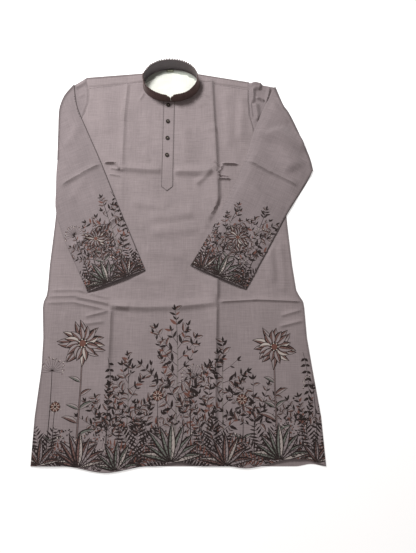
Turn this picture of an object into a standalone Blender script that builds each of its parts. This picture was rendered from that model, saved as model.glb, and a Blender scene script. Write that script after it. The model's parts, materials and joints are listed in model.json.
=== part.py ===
"""A long-sleeved kurta tunic with a stand collar, laid flat on its back with both sleeves folded in.

Every cut piece is its own closed wall of cloth. Points are worked out in the garment's own plan, in
which u runs across from the placket's line and v runs up from the lowest point of the hem. The whole is
then placed with the middle of its box over the world origin, +Y towards the collar and +Z up.
"""

import math

import bmesh
import bpy
from mathutils import Vector

# Driving sizes, in metres
CLOTH = 0.0010  # one layer of cloth
GAP = 0.0003  # between pieces, at seams and where they lie on each other
COLLAR_WALL = 0.0022
COLLAR_HEIGHT = 0.038
NOTCH_DEPTH = 0.014
NOTCH_HALF = 0.017
NOTCH_ROUND = 1.5  # how full the notch's curve is
NECK_U, NECK_V = 0.0080, 1.0026  # middle of the neck opening
NECK_HALF_WIDTH, NECK_HALF_DEPTH = 0.0800, 0.0546  # outside of the collar's base
RIM_HALF_WIDTH, RIM_HALF_DEPTH = 0.0743, 0.0573  # outside of the collar's rim
HEM_V, HEM_REACH = 0.0135, 0.120
UNDERARM_LEFT, UNDERARM_RIGHT = 0.785, 0.766
PLACKET_U, PLACKET_WIDTH, PLACKET_TIP_V = 0.0030, 0.0280, 0.681
PLACKET_POINT = 0.0140  # how far its end is pointed
PLACKET_CLOTH = 0.0012
BUTTON_RADIUS, BUTTON_THICK = 0.0058, 0.0026
BUTTON_U, BUTTON_TOP_V, BUTTON_PITCH = 0.0010, 0.9370, 0.0508
BUTTON_PROFILE = (  # share of radius, share of thickness
    (0.78, 0.0), (1.0, 0.30), (1.0, 0.72), (0.86, 1.0), (0.66, 0.98), (0.52, 0.66),
)
LABEL_WIDTH, LABEL_DEPTH = 0.0200, 0.0090
LABEL_INSET = 0.0020  # between the label and the collar, and from the neck's middle line
FACING_INSET = 0.0022  # between the facing and the inside of the collar
CUFF_OPENING = 0.0030  # rise of the cuff's upper layer
CUFF_SLIP = 0.0070  # how far the cuff's lower layer shows past the upper one
CUFF_FROM = 0.85  # share of the folded sleeve from which its cuff opens
CUFF_SKEW = 1.5  # above 1, the lower layer shows most near the cuff's inner end

COVER_MARGIN, COVER_RAMP = 0.028, 0.020  # how the front rises again beside a sleeve
EDGE_SHARE, EDGE_RAMP = 0.15, 0.020  # how a crease fades towards the side edges
CREASE_TAPER = 0.15  # share of a crease's length over which each end fades
ARMHOLE_PULL = 0.15  # how far from an armhole its curve draws the rows of a panel
FOOT_STEP_DEG, FOOT_RAMP_DEG = 24.0, 10.0  # where the collar's foot steps down, from the centre back

LAYER = CLOTH + GAP
BODY_TOP = LAYER + CLOTH  # top of the front where it lies flat
TUBE_HALF = (2 * CLOTH + GAP) / 2  # half the height of a flattened sleeve
TUBE_LOW = TUBE_HALF
TUBE_HIGH = BODY_TOP + GAP + TUBE_HALF
WRAP_HALF = CLOTH / 2
WRAP_TURN = WRAP_HALF + GAP / 2  # radius of the middle line of the shoulder's fold
FOLD_REACH = WRAP_TURN + WRAP_HALF

# Side edges of the body: height, then how far left and right of the placket's line
SIDES = (  # v, left, right
    (0.000, -0.2870, 0.3758),
    (0.120, -0.2880, 0.3705),
    (0.229, -0.2825, 0.3565),
    (0.300, -0.2850, 0.3480),
    (0.372, -0.2930, 0.3455),
    (0.388, -0.2920, 0.3437),
    (0.403, -0.2862, 0.3345),
    (0.417, -0.2850, 0.3280),
    (0.480, -0.2855, 0.3210),
    (0.590, -0.2820, 0.3135),
    (0.700, -0.2810, 0.3100),
    (0.785, -0.2830, 0.3080),
)
# Armholes, from the underarm up to the shoulder seam and on to the shoulder's fold
ARMHOLE_LEFT = (  # v, u
    (0.7850, -0.2830),
    (0.8200, -0.2680),
    (0.8600, -0.2500),
    (0.9055, -0.2323),
    (0.9400, -0.2231),
    (0.9700, -0.2220),
    (0.9945, -0.2250),
    (1.0271, -0.2321),
)
ARMHOLE_RIGHT = (  # v, u
    (0.7660, 0.3080),
    (0.7900, 0.2800),
    (0.8200, 0.2550),
    (0.8549, 0.2370),
    (0.9087, 0.2250),
    (0.9500, 0.2235),
    (0.9913, 0.2252),
    (1.0124, 0.2257),
)
SEAM_LEFT, SEAM_RIGHT = 0.9945, 0.9913  # where each armhole meets the shoulder seam
FOLD_NECK_V = 1.0440  # the shoulders' fold where it meets the neck

# Columns of the front panel on each side: u over the chest, u at the shoulder seam. None is the edge.
LEFT_COLUMNS = ((None, None), (-0.240, -0.198), (-0.190, -0.165), (-0.138, -0.138), (-0.126, -0.126),
                (-0.114, -0.114))
RIGHT_COLUMNS = ((0.119, 0.119), (0.131, 0.131), (0.143, 0.143), (0.195, 0.170), (0.255, 0.198),
                 (None, None))
NECK_COLUMNS = 12
NECK_SPREAD = (-0.085, 0.101)  # the neck's columns over the front's chest
BACK_SPREAD = (-0.283, -0.060, 0.076, 0.308)  # both shoulders' columns over the back, from side to neck
NECK_FROM_DEG = 102.0  # how far round from the centre front the front's neckline runs
# Rows of each panel from the hem to just below the underarms, closest at the creases
FRONT_ROWS = (HEM_V, 0.026, 0.045, 0.080, 0.120, 0.165, 0.215, 0.265, 0.310, 0.345, 0.358, 0.371, 0.384,
              0.397, 0.425, 0.470, 0.520, 0.570, 0.620, 0.670, 0.710, 0.734, 0.747, 0.757)
BACK_ROWS = (HEM_V, 0.035, 0.070, 0.130, 0.210, 0.300, 0.372, 0.388, 0.403, 0.417, 0.480, 0.590, 0.700)
ARMHOLE_STEPS = 8
BACK_SHOULDER_STEPS, BACK_NECK_STEPS, FLAP_STEPS = 5, 8, 3

# Soft ridges of the front, from how it was folded and how it lies
CREASES = (  # u0, v0, u1, v1, height, half_width
    (-0.126, 1.000, -0.126, 0.660, 0.0022, 0.012),
    (-0.126, 0.400, -0.122, 0.060, 0.0024, 0.012),
    (0.126, 1.000, 0.131, 0.620, 0.0022, 0.012),
    (0.131, 0.430, 0.132, 0.060, 0.0024, 0.012),
    (-0.150, 0.758, -0.030, 0.757, 0.0020, 0.012),
    (0.045, 0.757, 0.190, 0.757, 0.0020, 0.012),
    (-0.120, 0.384, 0.130, 0.384, 0.0020, 0.013),
    (0.140, 0.386, 0.335, 0.384, 0.0030, 0.013),
    (-0.285, 0.410, -0.140, 0.384, 0.0036, 0.014),
    (-0.288, 0.372, -0.150, 0.360, 0.0028, 0.013),
    (-0.215, 0.330, -0.130, 0.345, 0.0022, 0.013),
    (0.285, 0.330, 0.345, 0.350, 0.0024, 0.013),
    (-0.060, 0.640, 0.130, 0.600, 0.0028, 0.030),
    (-0.080, 0.580, 0.020, 0.560, 0.0022, 0.028),
)
# Waves that lift the front's hem off the back: place, rise, half width, how far up they reach
HEM_WAVES = (  # u, rise, half_width, reach
    (-0.240, 0.0012, 0.060, 0.120),
    (0.045, 0.0036, 0.055, 0.110),
    (0.295, 0.0046, 0.075, 0.160),
)
# Where the front's hem draws up and shows the inside of the back
HEM_LIFTS = (  # u, rise, half_width
    (0.045, 0.0095, 0.055),
    (0.300, 0.0170, 0.080),
)
HEM_DIPS = (  # u, drop, half_width
    (-0.119, 0.0135, 0.095),
    (0.195, 0.0040, 0.040),
    (0.342, -0.0050, 0.035),
)

# Sleeves. The fold is the outline along which the sleeve turns back over itself, from shoulder down.
# The stations are sections of the folded part, from the fold to the cuff: the inner end of each, the
# outer end, and how far its middle bows outwards.
SLEEVES = {
    "sleeve_left": {
        "out": -1.0,
        "fold": (  # u, v
            (-0.2661, 1.0029),
            (-0.2871, 0.9719),
            (-0.2967, 0.9433),
            (-0.2997, 0.9150),
            (-0.2966, 0.8570),
            (-0.2919, 0.7722),
        ),
        "stations": (  # inner_u, inner_v, outer_u, outer_v, bow
            (-0.2499, 0.9319, -0.2902, 0.7380, 0.0120),
            (-0.2150, 0.8520, -0.2872, 0.6860, 0.0060),
            (-0.1738, 0.7617, -0.2815, 0.6250, 0.0020),
            (-0.1229, 0.6412, -0.2549, 0.5500, 0.0),
            (-0.0850, 0.5555, -0.2200, 0.4810, 0.0),
            (-0.0460, 0.4666, -0.1852, 0.4110, 0.0),
        ),
        "creases": (  # u0, v0, u1, v1, height, half_width
            (-0.185, 0.762, -0.275, 0.690, 0.0018, 0.012),
            (-0.120, 0.604, -0.235, 0.520, 0.0020, 0.012),
        ),
    },
    "sleeve_right": {
        "out": 1.0,
        "fold": (  # u, v
            (0.2995, 0.9951),
            (0.3181, 0.9401),
            (0.3325, 0.9149),
            (0.3501, 0.8715),
            (0.3802, 0.7853),
            (0.3890, 0.7398),
        ),
        "stations": (  # inner_u, inner_v, outer_u, outer_v, bow
            (0.2758, 0.9527, 0.3800, 0.7240, 0.0100),
            (0.2374, 0.8592, 0.3640, 0.6960, 0.0050),
            (0.2079, 0.7617, 0.3360, 0.6520, 0.0),
            (0.1700, 0.6770, 0.3058, 0.6025, 0.0),
            (0.1200, 0.5740, 0.2560, 0.5110, 0.0),
            (0.0669, 0.4790, 0.2042, 0.4181, 0.0),
        ),
        "creases": (  # u0, v0, u1, v1, height, half_width
            (0.215, 0.764, 0.296, 0.719, 0.0024, 0.012),
            (0.296, 0.719, 0.335, 0.696, 0.0020, 0.012),
        ),
    },
}
STATION_STEPS = 3
SLEEVE_LOW_ROWS = 3
FOLD_STEPS = 6
SAG_RAMP = 0.030  # how gently a folded sleeve comes down to the floor beside the body
SAG_FROM_SIDE, SAG_FROM_LOWER = 0.014, 0.010  # where it starts, past the side and past the part below
SLEEVE_SETBACK = 0.0030  # the sleeve's ends stop this short of the underarm and the shoulder's fold

COLLAR_STEPS, COLLAR_ROWS = 54, 5
FACING_RINGS, FACING_SPOKES, FACING_HUB = 3, 36, 0.25  # the hub is the innermost ring's share
PLACKET_ROWS, PLACKET_COLUMNS = 16, 6
BUTTON_STEPS = 20
SHARP_DEG = 50.0

CLOTH_COLOUR = (0.37, 0.31, 0.32)
COLLAR_COLOUR = (0.09, 0.06, 0.055)
FACING_COLOUR = (0.58, 0.60, 0.53)
BUTTON_COLOUR = (0.03, 0.02, 0.02)
CLOTH_ROUGHNESS, BUTTON_ROUGHNESS = 0.85, 0.35


# Small helpers


def ease(t):
    t = min(max(t, 0.0), 1.0)
    return t * t * (3 - 2 * t)


def mix(a, b, t):
    return a + (b - a) * t


def read(table, at, column=1):
    """A table's column at a value of its first column, in straight steps."""
    rows = sorted(table)
    for low, high in zip(rows, rows[1:]):
        if at <= high[0]:
            return mix(low[column], high[column], max(0.0, (at - low[0]) / (high[0] - low[0])))
    return rows[-1][column]


def smooth_path(points, t):
    """The point at share t, from 0 to 1, of a smooth curve through the points."""
    spans = len(points) - 1
    i = min(int(t * spans), spans - 1)
    f = t * spans - i
    p = [Vector(points[min(max(k, 0), spans)]) for k in (i - 1, i, i + 1, i + 2)]
    return 0.5 * (
        2 * p[1] + (p[2] - p[0]) * f + (2 * p[0] - 5 * p[1] + 4 * p[2] - p[3]) * f**2
        + (3 * p[1] - p[0] - 3 * p[2] + p[3]) * f**3
    )


def bell(distance, half_width):
    """1 on the middle line and 0 from the half width outwards, round at both."""
    return 1 - ease(abs(distance) / half_width)


def beside(u, v, start, end):
    """Distance to the left of a line from start to end. It is below 0 on the right."""
    line = (Vector(end) - Vector(start)).normalized()
    return line.x * (v - start[1]) - line.y * (u - start[0])


def along(u, v, u0, v0, u1, v1):
    """Share of the way along a line, and the distance from it."""
    line = Vector((u1 - u0, v1 - v0))
    way = Vector((u - u0, v - v0)).dot(line) / line.length_squared
    near = min(max(way, 0.0), 1.0)
    return way, math.hypot(u - mix(u0, u1, near), v - mix(v0, v1, near))


def crease_height(creases, u, v):
    """Height of soft ridges that fade out at both ends."""
    total = 0.0
    for u0, v0, u1, v1, height, half_width in creases:
        way, distance = along(u, v, u0, v0, u1, v1)
        ends = ease(way / CREASE_TAPER) * ease((1 - way) / CREASE_TAPER)
        total += height * bell(distance, half_width) * ends
    return total


# The body's plan


def body_side(side, v):
    return read(SIDES, v, 1 if side < 0 else 2)


def hem_line(u):
    return HEM_V - sum(drop * bell(u - at, half) for at, drop, half in HEM_DIPS)


def front_hem_line(u):
    return hem_line(u) + sum(rise * bell(u - at, half) for at, rise, half in HEM_LIFTS)


def hem_shift(line, u, height):
    """How far a row follows the hem's own line. Rows above HEM_REACH run straight."""
    return (line(u) - HEM_V) * (1 - ease((height - HEM_V) / HEM_REACH))


def armhole(side, v):
    return read(ARMHOLE_LEFT if side < 0 else ARMHOLE_RIGHT, v)


def armhole_points(side):
    """From the underarm to the shoulder seam, in equal steps of height."""
    low, high = (UNDERARM_LEFT, SEAM_LEFT) if side < 0 else (UNDERARM_RIGHT, SEAM_RIGHT)
    heights = [mix(low, high, i / ARMHOLE_STEPS) for i in range(ARMHOLE_STEPS + 1)]
    return [Vector((armhole(side, v), v)) for v in heights]


def shoulder_end(side):
    """Where the armhole meets the shoulder's fold."""
    v, u = (ARMHOLE_LEFT if side < 0 else ARMHOLE_RIGHT)[-1]
    return Vector((u, v))


def neck_point(degrees, inset=0.0, rim=0.0):
    """A point of the collar's oval, counted from the centre front. rim is 0 at the base and 1 on top."""
    angle = math.radians(degrees)
    wide = mix(NECK_HALF_WIDTH, RIM_HALF_WIDTH, rim) - inset
    deep = mix(NECK_HALF_DEPTH, RIM_HALF_DEPTH, rim) - inset
    return Vector((NECK_U + wide * math.sin(angle), NECK_V - deep * math.cos(angle)))


def sleeve_cover(u, v):
    """0 under a sleeve and up to 1 away from it, so that what lies under a sleeve is flat."""
    shown = 1.0
    for sleeve in SLEEVES.values():
        out, stations = sleeve["out"], sleeve["stations"]
        first, middle, last = sleeve["fold"][0], stations[2], stations[-1]
        past_inner = -out * beside(u, v, first, last[:2])
        past_cuff = -out * beside(u, v, last[:2], last[2:4])
        past_outer = out * beside(u, v, middle[2:4], last[2:4])
        shown = min(shown, ease((max(past_inner, past_cuff, past_outer) - COVER_MARGIN) / COVER_RAMP))
    return shown


def front_lift(u, v):
    """How far the front panel stands above lying flat. It lies flat under the placket and at its edges."""
    beside_placket = ease((abs(u - PLACKET_U) - PLACKET_WIDTH * 0.7) / PLACKET_WIDTH)
    below_placket = ease((PLACKET_TIP_V - v) / PLACKET_WIDTH)
    lift = crease_height(CREASES, u, v) * max(beside_placket, below_placket)
    for at, rise, half, reach in HEM_WAVES:
        lift += rise * bell(u - at, half) * (1 - ease((v - HEM_V) / reach))
    inside = min(u - body_side(-1, v), body_side(1, v) - u)
    return lift * sleeve_cover(u, v) * mix(EDGE_SHARE, 1.0, ease(inside / EDGE_RAMP))


# Closed walls


def wall(name, outer, inner, colour, ring=False, cells=None):
    """A closed wall between two grids of points. A ring joins its last column to its first."""
    rows, columns = len(outer), len(outer[0])
    bm = bmesh.new()
    skins = [[[bm.verts.new(p) for p in row] for row in grid] for grid in (outer, inner)]
    partner = {a: b for top, low in zip(*skins) for a, b in zip(top, low)}
    for r in range(rows - 1):
        for c in range(columns if ring else columns - 1):
            if cells is None or (r, c) in cells:
                d = (c + 1) % columns
                for skin in skins:
                    bm.faces.new((skin[r][c], skin[r][d], skin[r + 1][d], skin[r + 1][c]))
    for edge in [e for e in bm.edges if e.is_boundary and e.verts[0] in partner]:
        a, b = edge.verts
        bm.faces.new((a, b, partner[b], partner[a]))
    bmesh.ops.delete(bm, geom=[v for v in bm.verts if not v.link_faces], context="VERTS")
    return finish(name, bm, colour)


def finish(name, bm, colour, roughness=CLOTH_ROUGHNESS):
    """Makes the object of a mesh, under the garment, with its own material."""
    bmesh.ops.recalc_face_normals(bm, faces=bm.faces)
    mesh = bpy.data.meshes.new(name)
    bm.to_mesh(mesh)
    bm.free()
    mesh.shade_smooth()
    mesh.set_sharp_from_angle(angle=math.radians(SHARP_DEG))
    material = bpy.data.materials.new(name)
    material.use_nodes = True
    shader = material.node_tree.nodes["Principled BSDF"]
    shader.inputs["Base Color"].default_value = (*colour, 1.0)
    shader.inputs["Roughness"].default_value = roughness
    shader.inputs["Metallic"].default_value = 0.0
    mesh.materials.append(material)
    piece = bpy.data.objects.new(name, mesh)
    bpy.context.collection.objects.link(piece)
    return piece


# Body panels


def seam_height(side, u):
    """The shoulder seam, straight from the armhole to the neck."""
    arm = armhole_points(side)[-1]
    neck = neck_point(side * NECK_FROM_DEG, COLLAR_WALL)
    return mix(arm.y, neck.y, (u - arm.x) / (neck.x - arm.x))


def front_columns():
    """For each column of the front: its u over the chest, and the point where it ends at the top."""
    columns = []
    for side, table in ((-1, LEFT_COLUMNS), (1, RIGHT_COLUMNS)):
        made = []
        for chest, top in table:
            u = top if top is not None else armhole_points(side)[-1].x
            made.append((chest, Vector((u, seam_height(side, u)))))
        if side < 0:
            columns += made
            for i in range(NECK_COLUMNS + 1):
                t = i / NECK_COLUMNS
                point = neck_point(mix(-NECK_FROM_DEG, NECK_FROM_DEG, t), COLLAR_WALL)
                columns.append((mix(*NECK_SPREAD, t), point))
        else:
            columns += made
    return columns


def front_plan():
    """Rows of plan points, from the hem to the shoulder seam and the neckline."""
    columns = front_columns()
    arms = armhole_points(-1), armhole_points(1)
    rows = []
    for height in FRONT_ROWS:
        left, right = body_side(-1, height), body_side(1, height)
        row = []
        for i, (chest, _) in enumerate(columns):
            u = chest if chest is not None else (left if i == 0 else right)
            row.append(Vector((u, height + hem_shift(front_hem_line, u, height))))
        rows.append(row)
    under = []
    for i, (chest, _) in enumerate(columns):
        u = chest if chest is not None else (arms[0][0].x if i == 0 else arms[1][0].x)
        t = (u - arms[0][0].x) / (arms[1][0].x - arms[0][0].x)
        under.append(Vector((u, mix(arms[0][0].y, arms[1][0].y, t))))
    rows.append(under)
    for step in range(1, ARMHOLE_STEPS + 1):
        t = step / ARMHOLE_STEPS
        row = []
        for i, (_, top) in enumerate(columns):
            point = under[i].lerp(top, t)
            for side, arm in zip((-1, 1), arms):
                edge = under[0 if side < 0 else -1].lerp(arm[-1], t)
                near = 1 - min(abs(point.x - arm[step].x) / ARMHOLE_PULL, 1.0)
                if i == (0 if side < 0 else len(columns) - 1):
                    point = arm[step].copy()
                else:
                    point += (arm[step] - edge) * near * near
            row.append(point)
        rows.append(row)
    return rows


def make_front():
    plan = front_plan()
    lifts = [[front_lift(p.x, p.y) for p in row] for row in plan[:-1]]
    lifts.append([0.0] * len(plan[-1]))
    skins = []
    for base in (BODY_TOP, LAYER):
        skins.append([[(p.x, p.y, base + h) for p, h in zip(*rows)] for rows in zip(plan, lifts)])
    return wall("front_panel", *skins, CLOTH_COLOUR)


def fold_degrees():
    """Where the turned shoulder meets the neck, counted from the centre front."""
    return math.degrees(math.acos(-(FOLD_NECK_V - FOLD_REACH - NECK_V) / (NECK_HALF_DEPTH - COLLAR_WALL)))


def fold_point(side, t):
    """The shoulder's fold, from the armhole at 0 to the neck at 1."""
    neck = neck_point(side * fold_degrees(), COLLAR_WALL)
    return shoulder_end(side).lerp(Vector((neck.x, FOLD_NECK_V)), t)


def back_columns():
    """For each column of the back: its u over the chest, its end at the top, and its shoulder, if any."""
    left_side, left_neck, right_neck, right_side = BACK_SPREAD
    columns = []
    for i in range(BACK_SHOULDER_STEPS + 1):
        t = i / BACK_SHOULDER_STEPS
        columns.append((mix(left_side, left_neck, t), fold_point(-1, t), (-1, t)))
    start, end = fold_point(-1, 1.0), fold_point(1, 1.0)
    low = math.degrees(math.acos((start.y - NECK_V) / NECK_HALF_DEPTH))
    high = math.degrees(math.acos((end.y - NECK_V) / NECK_HALF_DEPTH))
    for i in range(1, BACK_NECK_STEPS):
        t = i / BACK_NECK_STEPS
        columns.append((mix(left_neck, right_neck, t), neck_point(180 + mix(low, -high, t)), None))
    for i in range(BACK_SHOULDER_STEPS + 1):
        t = i / BACK_SHOULDER_STEPS
        columns.append((mix(right_neck, right_side, t), fold_point(1, 1 - t), (1, 1 - t)))
    return columns


def make_back():
    """The back lies on the floor, and its shoulders turn over onto the front as far as the seam."""
    columns = back_columns()
    last = len(columns) - 1
    arms = armhole_points(-1), armhole_points(1)
    plan = []
    for height in BACK_ROWS:
        left, right = body_side(-1, height), body_side(1, height)
        row = []
        for i, (chest, _, _) in enumerate(columns):
            u = left if i == 0 else right if i == last else chest
            row.append(Vector((u, height + hem_shift(hem_line, u, height))))
        plan.append(row)
    under = []
    for i, (chest, _, _) in enumerate(columns):
        t = (chest - arms[0][0].x) / (arms[1][0].x - arms[0][0].x)
        under.append(Vector((chest, mix(arms[0][0].y, arms[1][0].y, t))))
    plan.append(under)
    for step in range(1, ARMHOLE_STEPS + 2):
        t = step / (ARMHOLE_STEPS + 1)
        row = []
        for i, (_, top, shoulder) in enumerate(columns):
            top = top - Vector((0.0, FOLD_REACH)) if shoulder else top
            point = under[i].lerp(top, t)
            for side, arm in zip((-1, 1), arms):
                at = arm[step] if step <= ARMHOLE_STEPS else top
                if i == (0 if side < 0 else last):
                    point = at.copy()
                elif step <= ARMHOLE_STEPS:
                    edge = under[0 if side < 0 else -1].lerp(shoulder_end(side), t)
                    near = 1 - min(abs(point.x - at.x) / ARMHOLE_PULL, 1.0)
                    point += (at - edge) * near * near
            row.append(point)
        plan.append(row)
    outer = [[(p.x, p.y, 0.0) for p in row] for row in plan]
    inner = [[(p.x, p.y, CLOTH) for p in row] for row in plan]
    cells = {(r, c) for r in range(len(plan) - 1) for c in range(last)}
    shoulders = {c for c in range(last) if columns[c][2] and columns[c + 1][2]}
    for degrees in (45, 90, 135, 180):
        angle = math.radians(degrees)
        for skin, half in ((outer, WRAP_HALF), (inner, -WRAP_HALF)):
            skin.append([(top.x, top.y - FOLD_REACH + (WRAP_TURN + half) * math.sin(angle),
                          FOLD_REACH - (WRAP_TURN + half) * math.cos(angle)) for _, top, _ in columns])
        cells |= {(len(outer) - 2, c) for c in shoulders}
    for step in range(1, FLAP_STEPS + 1):
        row = [flap_point(top, shoulder, step / FLAP_STEPS) for _, top, shoulder in columns]
        outer.append([(p.x, p.y, BODY_TOP) for p in row])
        inner.append([(p.x, p.y, LAYER) for p in row])
        cells |= {(len(outer) - 2, c) for c in shoulders}
    return wall("back_panel", outer, inner, CLOTH_COLOUR, cells=cells)


def flap_point(top, shoulder, share):
    """A point of the turned shoulder, from its fold at 0 to the seam at 1."""
    if shoulder is None:
        return top
    side, t = shoulder
    turns = fold_degrees(), NECK_FROM_DEG
    necks = [neck_point(side * degrees, COLLAR_WALL) for degrees in turns]
    on_arc = neck_point(side * mix(*turns, share), COLLAR_WALL)
    end = armhole_points(side)[-1].lerp(necks[1], t)
    point = (top - Vector((0.0, FOLD_REACH))).lerp(end, share)
    return point + (on_arc - necks[0].lerp(necks[1], share)) * t**3 + Vector((0.0, GAP * share))


# Sleeves


def sleeve_sections(sleeve):
    """Sections from the armhole to the cuff: plan points across, their heights, and the layers' normals."""
    out = sleeve["out"]
    arm = list(reversed(armhole_points(out)))
    arm.insert(0, shoulder_end(out))
    across = len(arm)
    ends = [arm[0].lerp(arm[1], SLEEVE_SETBACK / (arm[1] - arm[0]).length)]
    ends.append(arm[-1].lerp(arm[-2], SLEEVE_SETBACK / (arm[-2] - arm[-1]).length))
    start = [ends[0], *arm[1:-1], ends[1]]
    start = [p + outward(start, i, out) * GAP for i, p in enumerate(start)]
    fold = [smooth_path(sleeve["fold"], i / (across - 1)) for i in range(across)]
    outs = [outward(fold, i, out) for i in range(across)]
    turn = (TUBE_HIGH - TUBE_LOW) / 2
    edge = [p - n * (turn + TUBE_HALF) for p, n in zip(fold, outs)]
    sections = []
    for row in range(SLEEVE_LOW_ROWS):
        t = row / SLEEVE_LOW_ROWS
        points = [a.lerp(b, t) for a, b in zip(start, edge)]
        sections.append([(Vector((*p, TUBE_LOW)), Vector((0, 0, -1))) for p in points])
    for row in range(FOLD_STEPS + 1):
        angle = math.pi * row / FOLD_STEPS
        section = []
        for p, n in zip(edge, outs):
            place = Vector((*(p + n * turn * math.sin(angle)), TUBE_LOW + turn * (1 - math.cos(angle))))
            section.append((place, Vector((*(n * math.sin(angle)), -math.cos(angle)))))
        sections.append(section)
    stations = [edge]
    for inner_u, inner_v, outer_u, outer_v, bow in sleeve["stations"]:
        a, b = Vector((inner_u, inner_v)), Vector((outer_u, outer_v))
        side = outward([a, b], 0, out)
        stations.append([a.lerp(b, i / (across - 1)) + side * bow * math.sin(math.pi * i / (across - 1))
                         for i in range(across)])
    total = (len(stations) - 1) * STATION_STEPS
    for row in range(1, total + 1):
        t = row / total
        points = [smooth_path([s[i] for s in stations], t) for i in range(across)]
        sections.append([(Vector((*p, TUBE_HIGH - sag(out, p))), Vector((0, 0, 1))) for p in points])
    return sections


def outward(points, i, out):
    """Across a row of plan points that runs down, away from the body."""
    line = (points[min(i + 1, len(points) - 1)] - points[max(i - 1, 0)]).normalized()
    return Vector((-line.y, line.x)) * out


def sag(out, point):
    """How far a folded sleeve sinks past the body's edge, below the part of it that lies on the floor."""
    beyond = out * (point.x - body_side(out, point.y)) - SAG_FROM_SIDE
    corner = SLEEVES["sleeve_left" if out < 0 else "sleeve_right"]["fold"][-1]
    below = -out * beside(point.x, point.y, armhole_points(out)[0], corner) - SAG_FROM_LOWER
    return 2 * LAYER * ease(min(beyond, below) / SAG_RAMP)


def tube_ring(section, half, lift):
    """A flattened ring round a section: over the top from end to end and back below."""
    ring = []
    for i, (place, normal) in enumerate(section):
        ring.append(place + normal * half + Vector((0, 0, lift[i])))
    ring.append(section[-1][0] + (section[-1][0] - section[-2][0]).normalized() * half)
    ring += [place - normal * half for place, normal in reversed(section)]
    ring.append(section[0][0] + (section[0][0] - section[1][0]).normalized() * half)
    return ring


def make_sleeve(name):
    sleeve = SLEEVES[name]
    sections = sleeve_sections(sleeve)
    outer, inner = [], []
    folded = SLEEVE_LOW_ROWS + FOLD_STEPS
    for row, section in enumerate(sections):
        share = max(0.0, (row - folded) / (len(sections) - 1 - folded))
        lift = []
        for i, (place, _) in enumerate(section):
            middle = math.sin(math.pi * i / (len(section) - 1))
            rise = crease_height(sleeve["creases"], place.x, place.y) if row > folded else 0.0
            lift.append(middle * (rise + CUFF_OPENING * ease((share - CUFF_FROM) / (1 - CUFF_FROM))))
        outer.append(tube_ring(section, TUBE_HALF, lift))
        inner.append(tube_ring(section, GAP / 2, lift))
    slip_lower_cuff(outer, inner, sections)
    return wall(name, outer, inner, CLOTH_COLOUR, ring=True)


def slip_lower_cuff(outer, inner, sections):
    """Lets the cuff's lower layer reach a little past the upper one, most near its inner end."""
    count = len(sections[-1])
    way = (sections[-1][0][0] - sections[-2][0][0]).normalized()
    for ring in (outer[-1], inner[-1]):
        for k in range(count):
            share = 1 - k / (count - 1)
            ring[2 * count - k] += way * CUFF_SLIP * math.sin(math.pi * share**CUFF_SKEW)


# Collar, facing, label, placket and buttons


def collar_top(degrees):
    """Height of the collar's rim, which falls in a rounded notch at the centre front."""
    around = abs((degrees + 180) % 360 - 180)
    arc = math.radians(around) * NECK_HALF_WIDTH
    return COLLAR_HEIGHT - NOTCH_DEPTH * (1 - ease(arc / NOTCH_HALF)) ** NOTCH_ROUND


def collar_foot(degrees):
    """Height of the collar's lower edge, which steps down behind the shoulders' fold."""
    behind = abs((degrees % 360) - 180)
    return mix(LAYER, BODY_TOP + GAP, ease((behind - FOOT_STEP_DEG) / FOOT_RAMP_DEG))


def make_collar():
    end = math.degrees(GAP / NECK_HALF_WIDTH)
    outer, inner = [], []
    for row in range(COLLAR_ROWS + 1):
        t = row / COLLAR_ROWS
        skins = ([], [])
        for step in range(COLLAR_STEPS + 1):
            degrees = mix(end, 360 - end, step / COLLAR_STEPS)
            foot = collar_foot(degrees)
            z = mix(foot, collar_top(degrees), t)
            rim = (z - foot) / (COLLAR_HEIGHT - foot)
            for skin, inset in zip(skins, (0.0, COLLAR_WALL)):
                skin.append(Vector((*neck_point(degrees, inset, rim), z)))
        outer.append(skins[0])
        inner.append(skins[1])
    return wall("collar_band", outer, inner, COLLAR_COLOUR)


def make_facing():
    """The facing of the back that shows inside the collar, as an oval plate."""
    centre = Vector((NECK_U, NECK_V))
    grid = []
    for ring in range(FACING_RINGS + 1):
        share = mix(FACING_HUB, 1.0, ring / FACING_RINGS)
        grid.append([])
        for step in range(FACING_SPOKES):
            edge = neck_point(360 * step / FACING_SPOKES, COLLAR_WALL + FACING_INSET)
            grid[-1].append(centre.lerp(edge, share))
    bm = bmesh.new()
    for z in (LAYER, BODY_TOP):
        skin = [[bm.verts.new((p.x, p.y, z)) for p in row] for row in grid]
        for low, high in zip(skin, skin[1:]):
            for i in range(FACING_SPOKES):
                j = (i + 1) % FACING_SPOKES
                bm.faces.new((low[i], low[j], high[j], high[i]))
        bm.faces.new(skin[0])
    outlines = [e for e in bm.edges if e.is_boundary]
    bmesh.ops.bridge_loops(bm, edges=outlines)
    return finish("neck_facing", bm, FACING_COLOUR)


def make_label():
    """A bare label on the facing, under the back of the collar."""
    high_v = neck_point(180, COLLAR_WALL).y - LABEL_INSET
    centre_u = NECK_U + LABEL_INSET
    us = centre_u - LABEL_WIDTH / 2, centre_u + LABEL_WIDTH / 2
    low = BODY_TOP + GAP
    skins = [[[(u, v, z) for u in us] for v in (high_v - LABEL_DEPTH, high_v)] for z in (low + CLOTH, low)]
    return wall("neck_label", *skins, FACING_COLOUR)


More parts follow.
